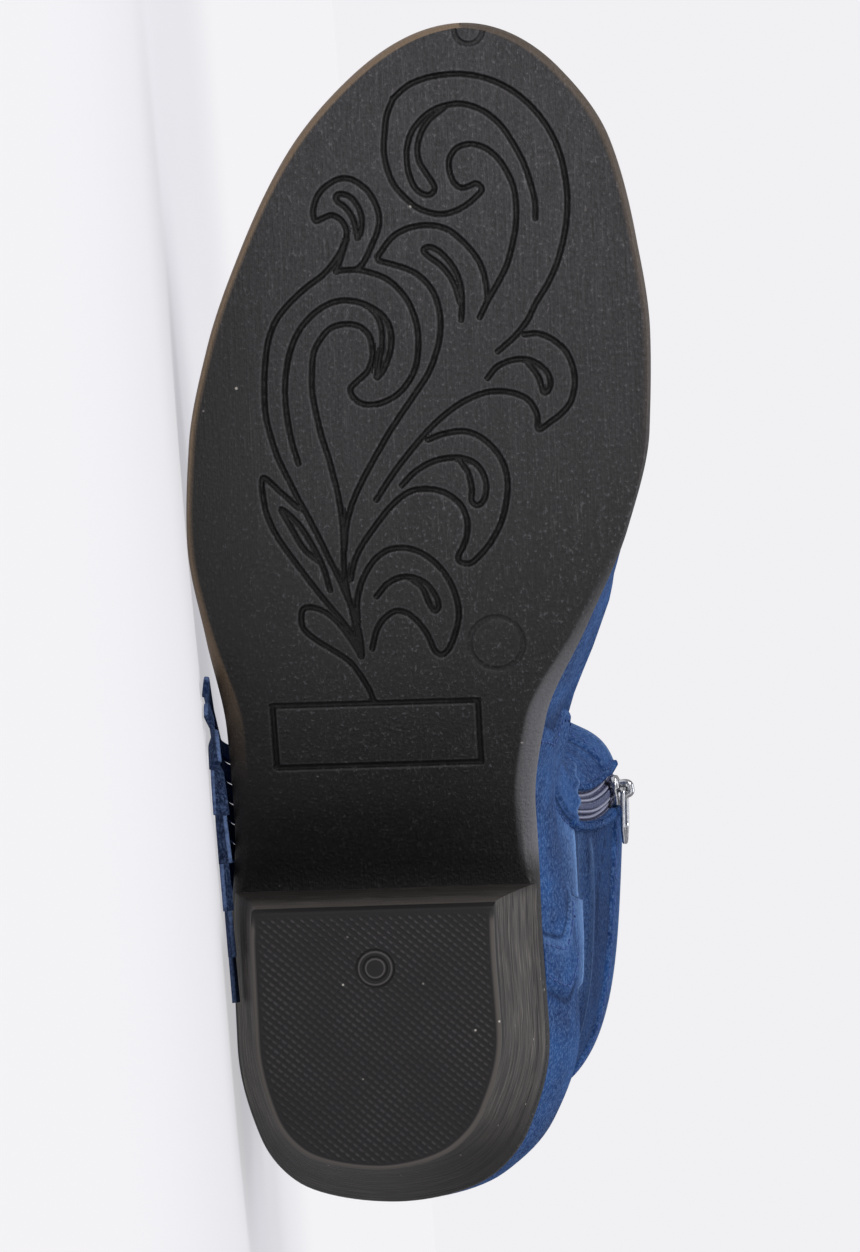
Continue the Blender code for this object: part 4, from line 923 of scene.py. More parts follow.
class Ornament:
    """Leaf scroll, blank frame and bare roundel on the tread, as in the photograph."""

    # strokes of the scroll, each a row of places x, y in the sole's millimetres
    STROKES = (
        ((-9.8, 242.4), (-12.7, 244.8), (-16.0, 246.2), (-19.8, 246.9), (-24.1, 247.0), (-28.8, 246.1),
         (-33.0, 244.3), (-36.7, 241.7), (-39.9, 238.4), (-42.6, 234.4), (-44.6, 229.7), (-45.6, 224.9),
         (-46.0, 220.2), (-45.7, 215.5), (-44.8, 210.9), (-43.3, 206.2), (-41.3, 202.1), (-38.6, 198.0),
         (-36.6, 194.3), (-33.6, 190.9), (-30.3, 188.2)),
        ((-9.8, 242.4), (-8.3, 238.7), (-7.7, 234.5), (-7.5, 231.2), (-8.0, 227.9), (-8.9, 225.2),
         (-10.1, 223.1), (-12.0, 221.0), (-14.0, 219.2), (-16.6, 218.0), (-19.4, 217.5), (-22.3, 218.1),
         (-24.7, 219.3), (-26.6, 220.8), (-28.0, 222.4), (-26.9, 223.7), (-25.3, 223.2), (-23.6, 222.9),
         (-22.2, 224.0), (-21.4, 225.9), (-21.2, 228.3), (-21.7, 229.9), (-22.9, 231.3), (-24.8, 232.0),
         (-27.0, 231.9), (-29.3, 230.9), (-31.6, 228.8), (-33.4, 225.9), (-34.7, 222.6), (-35.1, 218.8),
         (-34.9, 214.5), (-34.0, 210.3), (-32.7, 206.2), (-30.7, 202.5), (-28.5, 199.0), (-26.7, 195.6)),
        ((-39.1, 216.0), (-39.1, 219.6), (-38.3, 223.4), (-37.0, 227.6), (-35.0, 231.7), (-32.7, 235.4),
         (-30.0, 238.1), (-27.2, 239.8), (-23.9, 240.7), (-20.6, 240.4), (-17.7, 239.3), (-15.3, 237.4),
         (-13.3, 234.7), (-12.4, 231.5), (-12.3, 228.6), (-12.8, 225.8), (-13.8, 223.4), (-15.3, 222.0),
         (-17.0, 221.7), (-18.0, 222.8), (-17.6, 224.2), (-16.2, 226.5), (-15.0, 228.6), (-14.6, 230.9),
         (-14.9, 233.2), (-16.0, 235.8), (-17.7, 237.9), (-20.2, 239.7)),
        ((3.4, 206.4), (2.2, 209.4), (1.1, 212.9), (1.0, 215.2), (2.1, 217.2), (4.0, 218.2), (5.9, 217.6),
         (7.4, 217.1), (7.9, 218.6), (7.4, 221.2), (6.0, 223.5), (3.5, 225.3), (1.1, 225.9), (-1.4, 225.1),
         (-4.0, 222.8), (-5.5, 219.9), (-6.1, 217.1), (-5.6, 214.3), (-4.3, 211.5), (-2.8, 208.5),
         (-1.1, 206.7), (1.1, 206.5), (3.4, 206.4)),
        ((-1.3, 213.3), (-1.0, 215.4), (-0.3, 217.8), (1.1, 219.8), (2.7, 221.1), (2.9, 222.2), (1.7, 222.6),
         (-0.2, 221.8), (-1.7, 219.7), (-2.4, 217.2), (-2.1, 214.4), (-1.3, 213.3)),
        ((1.1, 212.9), (3.1, 209.2), (6.1, 205.8), (9.9, 203.1), (13.6, 199.9), (16.6, 196.3), (18.4, 191.8),
         (19.3, 186.2), (19.6, 181.1), (19.5, 176.5), (18.6, 171.9), (17.3, 167.4), (15.5, 163.3),
         (13.4, 158.7), (11.1, 154.0), (9.0, 149.4), (7.3, 145.3), (5.5, 141.2), (4.0, 137.1), (2.6, 132.9),
         (1.9, 128.8), (1.7, 124.7)),
        ((-1.5, 206.4), (-4.4, 205.6), (-7.2, 204.3), (-9.4, 202.4), (-11.3, 199.9), (-12.6, 196.9),
         (-13.4, 193.4), (-13.4, 189.4), (-12.7, 185.5), (-11.1, 182.5), (-8.8, 180.0), (-6.1, 178.5),
         (-3.6, 177.9), (-1.0, 178.2), (0.7, 179.5), (1.3, 181.4), (-0.4, 183.1), (-2.4, 184.9),
         (-3.5, 187.3), (-3.7, 189.8), (-3.0, 192.7), (-0.9, 194.6), (2.0, 195.1), (4.9, 194.4),
         (7.2, 192.2), (8.8, 189.2), (9.3, 185.2), (9.4, 180.7), (8.7, 176.1), (7.8, 171.5), (6.5, 167.0),
         (5.6, 162.9), (4.8, 158.9), (4.3, 154.9), (4.1, 150.9), (4.2, 146.9), (4.3, 143.5), (3.9, 138.2),
         (3.0, 133.0), (2.2, 128.2)),
        ((13.0, 166.1), (14.3, 171.2), (15.0, 176.3), (15.2, 181.5), (14.6, 186.5), (13.3, 191.0),
         (11.1, 194.9), (7.6, 198.2), (3.5, 200.0), (-0.4, 199.8), (-3.8, 198.4), (-6.5, 196.2),
         (-7.7, 193.3), (-7.7, 190.2), (-6.9, 187.4), (-5.7, 184.9), (-4.4, 183.7), (-5.0, 186.4),
         (-5.7, 189.7), (-5.8, 193.7), (-5.0, 196.4), (-3.2, 198.6)),
        ((-28.5, 199.3), (-28.1, 203.3), (-27.1, 206.8), (-25.3, 209.7), (-23.0, 212.2), (-20.7, 214.1),
         (-17.9, 215.1), (-15.1, 215.3), (-11.8, 214.7), (-8.9, 213.2), (-6.7, 210.7), (-5.5, 208.5),
         (-7.7, 207.6), (-11.0, 206.5), (-13.8, 205.0), (-16.1, 202.6), (-17.6, 199.7), (-18.3, 195.5),
         (-18.0, 191.5), (-16.9, 187.6), (-15.1, 183.7), (-12.4, 179.9), (-9.5, 176.0), (-6.7, 172.1),
         (-4.3, 168.3), (-1.9, 164.4), (0.6, 159.9), (2.3, 156.0), (3.4, 152.0), (4.0, 147.5)),
        ((-22.7, 195.2), (-23.0, 198.5), (-22.9, 201.8), (-22.1, 204.9), (-20.5, 207.6), (-18.4, 209.8),
         (-16.4, 210.7), (-15.2, 210.0), (-16.3, 208.7), (-18.6, 206.9), (-20.4, 204.7), (-21.7, 202.1),
         (-22.4, 199.3)),
        ((-36.1, 191.5), (-38.7, 191.6), (-41.7, 190.3), (-44.5, 187.7), (-45.9, 184.3), (-46.2, 180.9),
         (-45.3, 177.2), (-43.3, 174.7), (-40.8, 172.9), (-38.2, 171.4), (-38.0, 174.4), (-36.6, 177.3),
         (-34.2, 178.9), (-30.9, 179.7), (-27.5, 179.6), (-24.0, 178.5), (-20.6, 176.7), (-17.0, 174.0),
         (-14.1, 171.3), (-11.1, 168.0), (-8.2, 164.6), (-5.8, 161.4), (-3.3, 157.8)),
        ((-27.9, 182.7), (-29.9, 184.9), (-32.8, 186.1), (-35.7, 186.3), (-38.4, 185.3), (-40.4, 183.4),
         (-41.1, 181.2), (-40.5, 179.5), (-39.6, 179.1), (-39.2, 180.4), (-38.4, 182.8), (-36.6, 185.3)),
        ((-14.9, 170.1), (-18.1, 171.2), (-22.1, 171.6), (-25.4, 170.5), (-28.2, 168.1), (-30.3, 164.9),
         (-31.2, 161.0), (-30.8, 156.5), (-29.5, 152.0), (-27.3, 148.1), (-24.9, 145.3), (-22.6, 143.5),
         (-20.6, 143.8), (-20.1, 145.0), (-21.5, 147.7), (-22.3, 150.5), (-22.2, 153.4), (-20.9, 156.3),
         (-18.1, 158.6), (-14.8, 159.6), (-11.4, 159.5), (-8.5, 158.1), (-5.5, 155.4), (-2.5, 151.8),
         (-0.0, 148.5), (1.9, 145.1), (3.0, 141.1)),
        ((-8.9, 160.7), (-11.5, 163.2), (-15.0, 165.2), (-18.4, 166.0), (-21.8, 165.9), (-24.6, 164.6),
         (-26.2, 162.3), (-26.7, 159.5), (-26.0, 156.8), (-24.6, 155.8), (-23.5, 156.8), (-23.6, 159.6),
         (-22.9, 162.8), (-21.3, 165.5)),
        ((2.1, 131.8), (1.9, 136.4), (0.4, 141.0), (-2.1, 144.8), (-5.1, 146.9), (-8.5, 147.3),
         (-11.9, 146.3), (-15.2, 143.8), (-17.8, 140.2), (-19.2, 136.2), (-19.5, 132.2), (-18.4, 128.1),
         (-16.8, 124.9), (-15.2, 123.8), (-13.8, 125.0), (-12.6, 128.3), (-10.5, 131.5), (-8.3, 133.3),
         (-6.0, 133.7), (-3.7, 132.3), (-1.8, 129.7), (-0.6, 125.8)),
        ((-2.3, 137.1), (-4.7, 139.7), (-7.6, 141.0), (-10.5, 140.8), (-13.2, 139.2), (-14.9, 136.5),
         (-15.3, 134.3), (-14.3, 133.5), (-13.3, 135.3), (-12.2, 138.4), (-10.3, 140.2)),
        ((13.5, 156.7), (17.1, 160.2), (20.6, 163.2), (20.6, 157.8), (19.1, 152.6), (16.5, 147.9),
         (13.4, 143.2), (10.2, 138.5), (7.6, 134.9), (5.0, 131.3), (2.9, 127.7), (1.9, 124.1)),
        ((7.6, 138.9), (8.7, 143.6), (10.7, 148.3), (13.4, 153.0), (17.0, 156.5), (15.1, 152.5),
         (12.8, 148.1), (10.3, 145.5)),
        ((1.9, 124.1), (4.1, 128.3), (6.1, 131.3), (8.3, 133.6), (11.0, 135.0), (13.3, 135.0), (14.1, 133.2),
         (13.7, 130.4), (11.0, 127.8), (7.7, 125.5), (4.4, 122.9), (2.4, 119.9), (0.9, 116.9), (0.1, 114.4)),
    )
    FRAME = ((21.9, 113.6), (-22.4, 113.4), (-22.1, 99.3), (22.3, 99.4))
    ROUNDEL = (-27.2, 125.9, 5.7)
    TOE_MARK = (-26.1, 256.3, 3.0)
    SPACING = 0.3

    def samples(self) -> tuple[Array, Array, Array]:
        """Points along every stroke, their unit tangents and their cuts."""
        lines = [(spline(stroke, self.SPACING), 1.0) for stroke in self.STROKES]
        corners = [*self.FRAME, self.FRAME[0]]
        lines += [(even(np.array([a, b]), self.SPACING), 0.9) for a, b in zip(corners, corners[1:])]
        lines.append((spline(arc(*self.ROUNDEL), self.SPACING), 0.30))
        lines.append((spline(arc(*self.TOE_MARK, 185.0, 355.0), self.SPACING), 0.45))
        points = np.concatenate([line for line, _ in lines])
        tangents = np.concatenate([unit(np.gradient(line, axis=0)) for line, _ in lines])
        cuts = np.concatenate([np.full(len(line), cut) for line, cut in lines])
        return points, tangents, cuts

    def field(self, x: Array, y: Array) -> dict[str, Array]:
        """Values that let the shader draw the grooves crisply between points.

        Args:
            x: Places across, in millimetres.
            y: Places along, of the same shape.

        Returns:
            "line", the signed distance from the nearest stroke, "near", the plain distance, and "cut".
        """
        points, tangents, cuts = self.samples()
        at = np.stack([x.ravel(), y.ravel()], 1)
        nearest = np.empty(len(at), int)
        for first in range(0, len(at), 4000):
            part = at[first:first + 4000]
            far = (points**2).sum(1)[None] - 2 * part @ points.T
            nearest[first:first + 4000] = far.argmin(1)
        away = at - points[nearest]
        tangent = tangents[nearest]
        line = away[:, 0] * tangent[:, 1] - away[:, 1] * tangent[:, 0]
        values = {"line": line, "near": np.linalg.norm(away, axis=1), "cut": cuts[nearest]}
        return {key: value.reshape(x.shape) for key, value in values.items()}


# sole and heel


class Outsole:
    """Moulded sole: engraved tread, bevelled waist, wall and top as one closed ring surface."""

    # inset as a share of the bevel, height as a share of the thickness
    WALL = ((1.00, 0.00), (0.35, 0.22), (0.00, 0.62), (0.00, 0.88))
    TREAD_COLUMNS = 172
    GROOVE = 0.00060
    WALL_STEPS = 9

    def __init__(self, form: SoleForm, ornament: Ornament) -> None:
        """Keeps the sole's form and the ornament cut into it."""
        self.form = form
        self.ornament = ornament

    def rows(self) -> Array:
        """Shares of the length, close together at both tips and under the ornament."""
        heel = 0.36 * (1 - np.cos(np.linspace(0, math.pi / 2, 60)))
        body = np.linspace(0.36, 0.965, 318)
        tip = 0.965 + 0.035 * np.sin(np.linspace(0, math.pi / 2, 40))
        return np.unique(np.concatenate([heel, body, tip]))

    def build(self) -> Surface:
        """The closed surface.

        Each row is a ring: across the tread from the inner to the outer edge, up the wall along the
        bevel, and back across the top. Every height of the wall is drawn in by its own inset, at the
        tips along y too.
        """
        s, share = self.form.sizes, self.rows()
        centre, half = self.form.outline(share)
        bevel = np.minimum(self.form.edge(share)[0], half)
        y = share * s.length
        low = self.form.underside(y)
        u = np.linspace(0, 1, self.WALL_STEPS)
        inset = np.append(blend(u, *zip((0, 1), (0.4, 0.35), (0.75, 0), (1, 0))), [0.0])
        height = np.append(blend(u, *zip((0, 0), (0.4, 0.22), (0.75, 0.62), (1, 1 - s.top_round))), [1.0])
        extra = np.append(np.zeros(self.WALL_STEPS), [s.top_round * s.thickness])
        width = np.maximum(half[:, None] - inset * bevel[:, None] - extra, 0)
        pull = (half[:, None] - width).max(0) * 0.35
        wall_y = pull + y[:, None] * (1 - 2 * pull / s.length)
        wall_z = low[:, None] + height * s.thickness
        across = np.linspace(-1, 1, self.TREAD_COLUMNS)
        top = np.linspace(1, -1, 14)[1:-1]

        def ring(x: Array, y_: Array, z_: Array) -> Array:
            """Points of three coordinates broadcast together."""
            return np.stack(np.broadcast_arrays(x, y_, z_), -1)

        tread = ring(centre[:, None] + across * width[:, :1], wall_y[:, :1], wall_z[:, :1])
        outer = ring(centre[:, None] + width[:, 1:], wall_y[:, 1:], wall_z[:, 1:])
        lid = ring(centre[:, None] + top * width[:, -1:], wall_y[:, -1:], wall_z[:, -1:])
        inner = ring(centre[:, None] - width[:, :0:-1], wall_y[:, :0:-1], wall_z[:, :0:-1])
        points = np.concatenate([tread, outer, lid, inner], 1)
        values = self.paint(points, across, width[:, 0], len(outer[0]))
        points[..., 2] += self.GROOVE * values["cut"] * smooth(values["near"], 0.85, 0.10)
        return swept(points, values)

    def paint(self, points: Array, across: Array, width: Array, wall: int) -> dict[str, Array]:
        """Groove values on the tread, the tan rim of toe and outer edge, the painted highlight on the inner
        waist edge, and the painted shade by the heel breast.
        """
        columns = self.TREAD_COLUMNS
        x, y = points[..., 0] * MM, points[..., 1] * MM
        near = np.full(x.shape, 9.0)
        line, cut = near.copy(), np.zeros(x.shape)
        field = self.ornament.field(x[:, :columns], y[:, :columns])
        line[:, :columns], near[:, :columns], cut[:, :columns] = field["line"], field["near"], field["cut"]
        rim = np.zeros(x.shape)
        toe = smooth(y, 150, 215)
        edge = (1 - np.abs(across)) * width[:, None] * MM
        rim[:, :columns] = smooth(edge, 0.9, 0.1) * 0.55
        rim[:, columns:columns + wall] = 0.55
        rim[:, -wall:] = 0.55
        outer = np.zeros(x.shape)
        outer[:, columns // 2:columns + wall] = 1
        rim = rim * np.clip(toe * (0.35 + 0.65 * outer) + 0.75 * outer * smooth(y, 92, 130), 0.0, 1.0)
        breast = self.form.sizes.heel_length * MM
        # painted shade on the tread just ahead of the heel breast
        dark = 0.75 * smooth(y, breast + 26, breast + 1) * (y > breast - 0.5)
        dark = dark * np.where(np.arange(x.shape[1])[None] < columns, 1, 0.0)
        # painted highlight on the inner waist edge and wall
        pale = np.zeros(x.shape)
        pale[:, -wall:] = 0.65
        pale[:, :columns] = 0.55 * smooth((1 + across) * width[:, None] * MM, 1.3, 0.2)
        pale = pale * smooth(y, 72, 80) * smooth(y, 150, 110)
        return {"line": line, "near": near, "cut": cut, "rim": rim, "pale": pale, "dark": dark}


class Heel:
    """Heel block with a leaning back and flaring sides, and the lift under it."""

    ROWS = 60
    LID_ROWS = 46
    # middle of the bare plug in millimetres
    PLUG = (0.9, 58.0)

    def __init__(self, form: SoleForm) -> None:
        """Keeps the sole's form."""
        self.form = form

    def plan(self, narrow: float, back: float, front: float) -> tuple[Array, Array, Array]:
        """Centre, half width and y of the heel's plan at one height."""
        s = self.form.sizes
        share = 1 - np.cos(np.linspace(0, math.pi / 2, self.ROWS))
        centre, half = self.form.outline(share * s.heel_length / s.length)
        return centre, half * narrow, back + (front - back) * share

    def loop(self, centre: Array, half: Array, y: Array, z: Array) -> Array:
        """Closed loop: outer side from the back to the breast, across the breast and back to the tip."""
        side = np.stack([centre + half, y, z], 1)
        breast = np.linspace(1, -1, 26)[1:-1]
        front = np.stack(np.broadcast_arrays(centre[-1] + breast * half[-1], y[-1], z[-1]), 1)
        other = np.stack([centre - half, y, z], 1)[::-1]
        return np.concatenate([side, front, other[:-1]])

    def lid(self, loop: Array, steps: int) -> Array:
        """Rings that close a loop towards its middle line, so that its face is a fine grid."""
        middle = loop.copy()
        middle[:, 0] = loop[:, 0].mean()
        middle[:, 1] = loop[:, 1].mean() + (loop[:, 1] - loop[:, 1].mean()) * 0.35
        share = np.linspace(0, 1, steps)[1:, None, None]
        return loop[None] * (1 - share) + middle[None] * share

    def build(self) -> Surface:
        """Block between lift and seat."""
        s = self.form.sizes
        narrow0 = s.tip_width / s.seat
        bevel = float(self.form.edge(0.1)[0])
        low = s.lift + s.gap
        loops = []
        for rise in np.linspace(0, 1, 40):
            flare = rise**s.flare
            narrow = narrow0 + (1 - 2 * bevel / s.seat - narrow0) * flare
            back = (s.heel_length - s.tip_length) * (1 - flare) + bevel * flare
            centre, half, y = self.plan(narrow, back, s.heel_length)
            z = low + (self.form.underside(y) - s.gap - low) * rise
            loops.append(self.loop(centre, half, y, z))
        rings = np.array(loops)
        y = rings[..., 1] * MM
        breast = (y > s.heel_length * MM - 0.05)
        height = np.linspace(0, 1, len(rings))[:, None]
        # painted shade: darker up the breast towards the sole and towards the back of the block
        dark = np.maximum(0.55 * breast * smooth(height, 0.1, 0.7), 0.8 * smooth(y, 30, 12))
        values = {"rim": 0.55 * breast * smooth(height, 0.55, 0.0), "dark": dark}
        return swept(rings, values)

    def build_lift(self) -> Surface:
        """Lift with a rounded ground edge, a knurled face and the round bare plug."""
        s = self.form.sizes
        edge = 0.0007
        narrow = s.tip_width / s.seat
        back = s.heel_length - s.tip_length
        loops = []
        for turn in np.linspace(0, math.pi / 2, 6):
            inset = edge * (1 - math.sin(turn))
            centre, half, y = self.plan(narrow, back + inset, s.heel_length - inset)
            z = np.full_like(y, edge * (1 - math.cos(turn)))
            loops.append(self.loop(centre, np.maximum(half - inset, 0), y, z))
        for z0 in np.linspace(edge, s.lift, 6)[1:]:
            centre, half, y = self.plan(narrow, back, s.heel_length)
            loops.append(self.loop(centre, half, y, np.full_like(y, z0)))
        walls = np.array(loops)
        face = self.lid(walls[0], self.LID_ROWS)[::-1]
        rings = np.concatenate([face, walls])
        depth = np.concatenate([np.linspace(0, 1, self.LID_ROWS)[1:][::-1], np.zeros(len(walls))])[:, None]
        x, y = rings[..., 0] * MM, rings[..., 1] * MM
        away = np.hypot(x - self.PLUG[0], y - self.PLUG[1])
        face_on = (rings[..., 2] < 1e-6).astype(float)
        knurl = face_on * smooth(away, 4.1, 4.4) * smooth(depth, 0.03, 0.07)
        # painted highlight on the rounded ground edge and the foot of the wall
        rim = np.where(rings[..., 2] < 1e-6, smooth(depth, 0.02, 0.0), 1.0)
        rim = rim * smooth(rings[..., 2] * MM, 1.0, 0.4) * smooth(y, 69.5, 67.0)
        return swept(rings, {"knurl": knurl, "plug": np.where(face_on > 0, away, 99.0), "rim": rim})


# upper


@dataclass(frozen=True)
class Crease:
    """Soft trough or ridge between two places on the wall.

    Attributes:
        side: Side of the foot.
        start: Place and level where it starts.
        end: Place and level where it ends.
        width: Half width in metres.
        depth: Depth in metres, negative for a ridge.
        bow: How far its middle bends up the wall, in metres.
    """

    side: Side
    start: tuple[float, float]
    end: tuple[float, float]
    width: float
    depth: float
    bow: float = 0.0

    def lift(self, place: Array, level: Array) -> Array:
        """Height that it adds: a Gaussian across its line that fades at both ends."""
        scale = np.array([0.258, 0.150])
        a, b = np.array(self.start) * scale, np.array(self.end) * scale
        reach = float(np.linalg.norm(b - a))
        along = (b - a) / reach
        x, y = place * scale[0] - a[0], level * scale[1] - a[1]
        t = (x * along[0] + y * along[1]) / reach
        off = y * along[0] - x * along[1] - self.bow * 4 * np.clip(t, 0, 1) * (1 - np.clip(t, 0, 1))
        fade = smooth(t, -0.12, 0.22) * smooth(t, 1.12, 0.78)
        return -self.depth * np.exp(-((off / self.width) ** 2)) * fade


class Upper:
    """Hollow suede upper: outer and inner skins joined at the feather line, the collar and the zip slit."""

    QUARTER_STEP = 0.0008
    BAND_STEP = 0.0016
    COLLAR_STEP = 0.0009
    BAND = (0.196, 0.226)
    # place, level of the overlay's upper edge
    EDGE = {
        Side.INNER: ((0.00, 0.680), (0.12, 0.685), (0.17, 0.700), (0.205, 0.728), (0.245, 0.714),
                     (0.412, 0.715), (0.450, 0.725), (0.500, 0.742), (0.535, 0.752), (0.580, 0.772),
                     (0.660, 0.800)),
        Side.OUTER: ((0.00, 0.680), (0.06, 0.660), (0.14, 0.520), (0.21, 0.440), (0.660, 0.420)),
    }
    CREASES = (
        Crease(Side.INNER, (0.46, 0.47), (0.80, 0.36), 0.0045, 0.0014, 0.002),
        Crease(Side.INNER, (0.50, 0.56), (0.86, 0.47), 0.0050, 0.0016, 0.002),
        Crease(Side.OUTER, (0.42, 0.47), (0.80, 0.36), 0.0045, 0.0014, 0.002),
        Crease(Side.OUTER, (0.44, 0.56), (0.86, 0.47), 0.0050, 0.0016, 0.002),
        Crease(Side.INNER, (0.55, 0.30), (0.86, 0.26), 0.0045, 0.0009, 0.002),
        Crease(Side.OUTER, (0.55, 0.30), (0.86, 0.26), 0.0045, 0.0009, 0.002),
        Crease(Side.INNER, (0.02, 0.60), (0.34, 0.66), 0.0040, -0.0009, 0.002),
        Crease(Side.INNER, (0.02, 0.72), (0.36, 0.76), 0.0030, 0.0008, 0.002),
        Crease(Side.OUTER, (0.02, 0.60), (0.40, 0.62), 0.0040, 0.0009, 0.002),
        Crease(Side.INNER, (0.77, 1.12), (0.80, 0.58), 0.0330, 0.0060),
        Crease(Side.INNER, (0.34, 0.42), (0.58, 0.36), 0.0120, -0.0032),
        Crease(Side.INNER, (0.13, 0.800), (0.36, 0.790), 0.0020, -0.0007),
    )

    def __init__(self, form: UpperForm) -> None:
        """Keeps the upper's form."""
        self.form = form

    def places(self) -> Array:
        """Places of the columns, with the seams and both edges of the slit among them."""
        z = self.form.sizes
        back = np.linspace(0, 0.190, 36)
        band = np.append(np.linspace(0.190, 0.234, 30), z.counter_back)
        quarter = np.linspace(0.234, z.vamp_seam, 36)
        slit = np.linspace(z.vamp_seam + z.seam, z.zip_front, 6)
        seam = np.linspace(z.vamp_seam, z.vamp_seam + z.seam, 4)
        front = z.zip_front + (1 - z.zip_front) * np.sin(np.linspace(0, math.pi / 2, 64))
        return np.unique(np.round(np.concatenate([back, band, quarter, seam, slit, front]), 7))

    def levels(self) -> Array:
        """Levels of the rows, close together at the overlay's edge and the collar band."""
        band = self.form.band_level()
        plain = np.linspace(0, 1, 84)
        fine = np.concatenate([np.linspace(0.66, 0.76, 26), band + np.linspace(-0.004, 0.010, 7)])
        return np.unique(np.round(np.concatenate([plain, fine, [self.form.sizes.zip_low]]), 7))

    def edge(self, side: Side, place: Array) -> Array:
        """Level of the overlay's upper edge at a place."""
        return blend(place, *zip(*self.EDGE[side]))

    def relief(self, side: Side, place: Array, level: Array) -> Array:
        """Height over the wall: quarter, counter band and collar band as soft steps, then the creases."""
        z = self.form.sizes
        edge = self.edge(side, place)
        under = smooth(level, edge + 0.005, edge - 0.005)
        quarter = self.QUARTER_STEP * smooth(place, z.vamp_seam + 0.005, z.vamp_seam) * under
        back, front = self.BAND
        band = smooth(place, back, back + 0.003) * smooth(place, front, front - 0.003)
        band = (self.BAND_STEP - self.QUARTER_STEP) * band * under
        collar = self.COLLAR_STEP * smooth(level, self.form.band_level(), self.form.band_level() + 0.006)
        return np.maximum(quarter + band, collar) + self.folds(side, place, level)

    def folds(self, side: Side, place: Array, level: Array) -> Array:
        """Sum of the creases of one side."""
        return sum(crease.lift(place, level) for crease in self.CREASES if crease.side is side)

    def paint(self, side: Side, place: Array, level: Array) -> dict[str, Array]:
        """Pale cut edges, dark seams and the pebbled shaft, as masks of place and level, with painted
        highlight on the overlay and the shaft's ridge and painted shade by raised edges, in folds and at the
        foot of the wall.
        """
        z = self.form.sizes
        edge = self.edge(side, place)
        under = smooth(level, edge + 0.004, edge - 0.004)
        behind = smooth(place, z.vamp_seam + 0.01, z.vamp_seam)
        # pale cut edge just under the overlay's edge, and a broad painted highlight over the overlay below it
        fuzz = (0.80 * bell(level, edge - 0.006, 0.009) + 0.42 * bell(level, edge - 0.02, 0.06)) * behind
        fuzz = fuzz + 0.7 * bell(level, 1.0, 0.010) + 0.30 * bell(place, self.BAND[1] - 0.004, 0.005) * under
        # painted shade: a dark band on the wall just above the overlay's edge
        dark = 0.65 * bell(level, edge + 0.014, 0.010) * behind
        seams = (self.BAND[0] - 0.002, self.BAND[1] + 0.002, z.vamp_seam + 0.006)
        dark = dark + 0.7 * under * sum(bell(place, seam, 0.0022) for seam in seams)
        dark = dark + 0.5 * bell(place, 0.116, 0.0018) * under
        # painted shadow just under the collar band's lower edge
        dark = dark + 0.6 * bell(level, self.form.band_level() - 0.003, 0.003)
        shaft = smooth(place, 0.10, 0.16) * smooth(place, 0.40, 0.34) * (side is Side.INNER)
        # painted highlight along the shaft's ridge, and painted shade just below it
        fuzz = fuzz + 0.5 * bell(level, 0.800 - 0.05 * (place - 0.25), 0.007) * shaft
        dark = dark + 0.6 * bell(level, 0.790 - 0.05 * (place - 0.25), 0.008) * shaft
        # painted shade: a dark crease line across the shaft
        tuck = 0.8 * shaft * smooth(place, 0.19, 0.23)
        dark = dark + tuck * bell(level, 0.83 + 0.30 * (place - 0.22), 0.004)
        # painted shade at the foot of the wall, along the sole
        dark = dark + 0.6 * bell(level, 0.0, 0.006)
        grain = smooth(level, edge + 0.006, edge + 0.02) * smooth(place, 0.40, 0.38)
        grain = grain * smooth(level, 0.93, 0.90)
        return {"fuzz": np.clip(fuzz, 0, 1), "dark": np.clip(dark, 0, 1), "grain": grain}

    def build(self) -> Surface:
        """The closed hollow wall, with the lining's faces in the second slot."""
        places, levels = self.places(), self.levels()
        place, level = np.meshgrid(places, levels)
        skins, values = [], []
        for lining in (False, True):
            halves, painted = [], []
            for side in Side:
                lift = self.relief(side, place, level)
                if lining:
                    lift = self.folds(side, place, level) - self.form.sizes.wall
                halves.append(self.form.offset(side.value, place, level, lift))
                paint = self.paint(side, place, level)
                painted.append({key: value * (not lining) for key, value in paint.items()})
            skins.append(np.concatenate([halves[0], halves[1][:, -2:0:-1]], 1))
            there, back = painted
            values.append({k: np.concatenate([there[k], back[k][:, -2:0:-1]], 1) for k in there})
        rows, columns = skins[0].shape[:2]
        count = rows * columns
        place_ring = np.concatenate([places, places[-2:0:-1]])
        inner = np.arange(columns) >= len(places)
        inner[len(places) - 1] = True
        following = np.roll(place_ring, -1)
        z = self.form.sizes
        between = (np.minimum(place_ring, following) > z.vamp_seam + z.seam - 1e-6)
        between &= (np.maximum(place_ring, following) < z.zip_front + 1e-6) & inner
        kept = ~(between[None] & (levels[:-1, None] > z.zip_low - 1e-6))
        quads = grid_faces(rows, columns, True).reshape(rows - 1, columns, 4)
        face = [quads[kept], quads[kept][:, ::-1] + count]
        r, c = np.nonzero(kept != np.roll(kept, 1, 1))
        rims = [(r * columns + c, (r + 1) * columns + c)]
        padded = np.concatenate([np.zeros((1, columns), bool), kept, np.zeros((1, columns), bool)])
        r, c = np.nonzero(padded[1:] != padded[:-1])
        rims.append((r * columns + c, r * columns + (c + 1) % columns))
        face += [np.stack([a, b, b + count, a + count], 1) for a, b in rims]
        slots = np.concatenate([np.full(len(f), k) for f, k in zip(face, [0, 1, 0, 0])])
        points = np.concatenate([skin.reshape(-1, 3) for skin in skins])
        flat = {k: np.concatenate([v[k].ravel() for v in values]) for k in values[0]}
        return Surface(points, np.concatenate(face), flat, slots)

    def line(self, side: Side, place: Array, level: Array, lift: float) -> tuple[Array, Array]:
        """A line on the outer face with its normals, for seams and piping."""
        place, level = np.broadcast_arrays(np.asarray(place, float), np.asarray(level, float))
        total = self.relief(side, place, level) + lift
        return self.form.offset(side.value, place, level, total), self.form.normal(side.value, place, level)


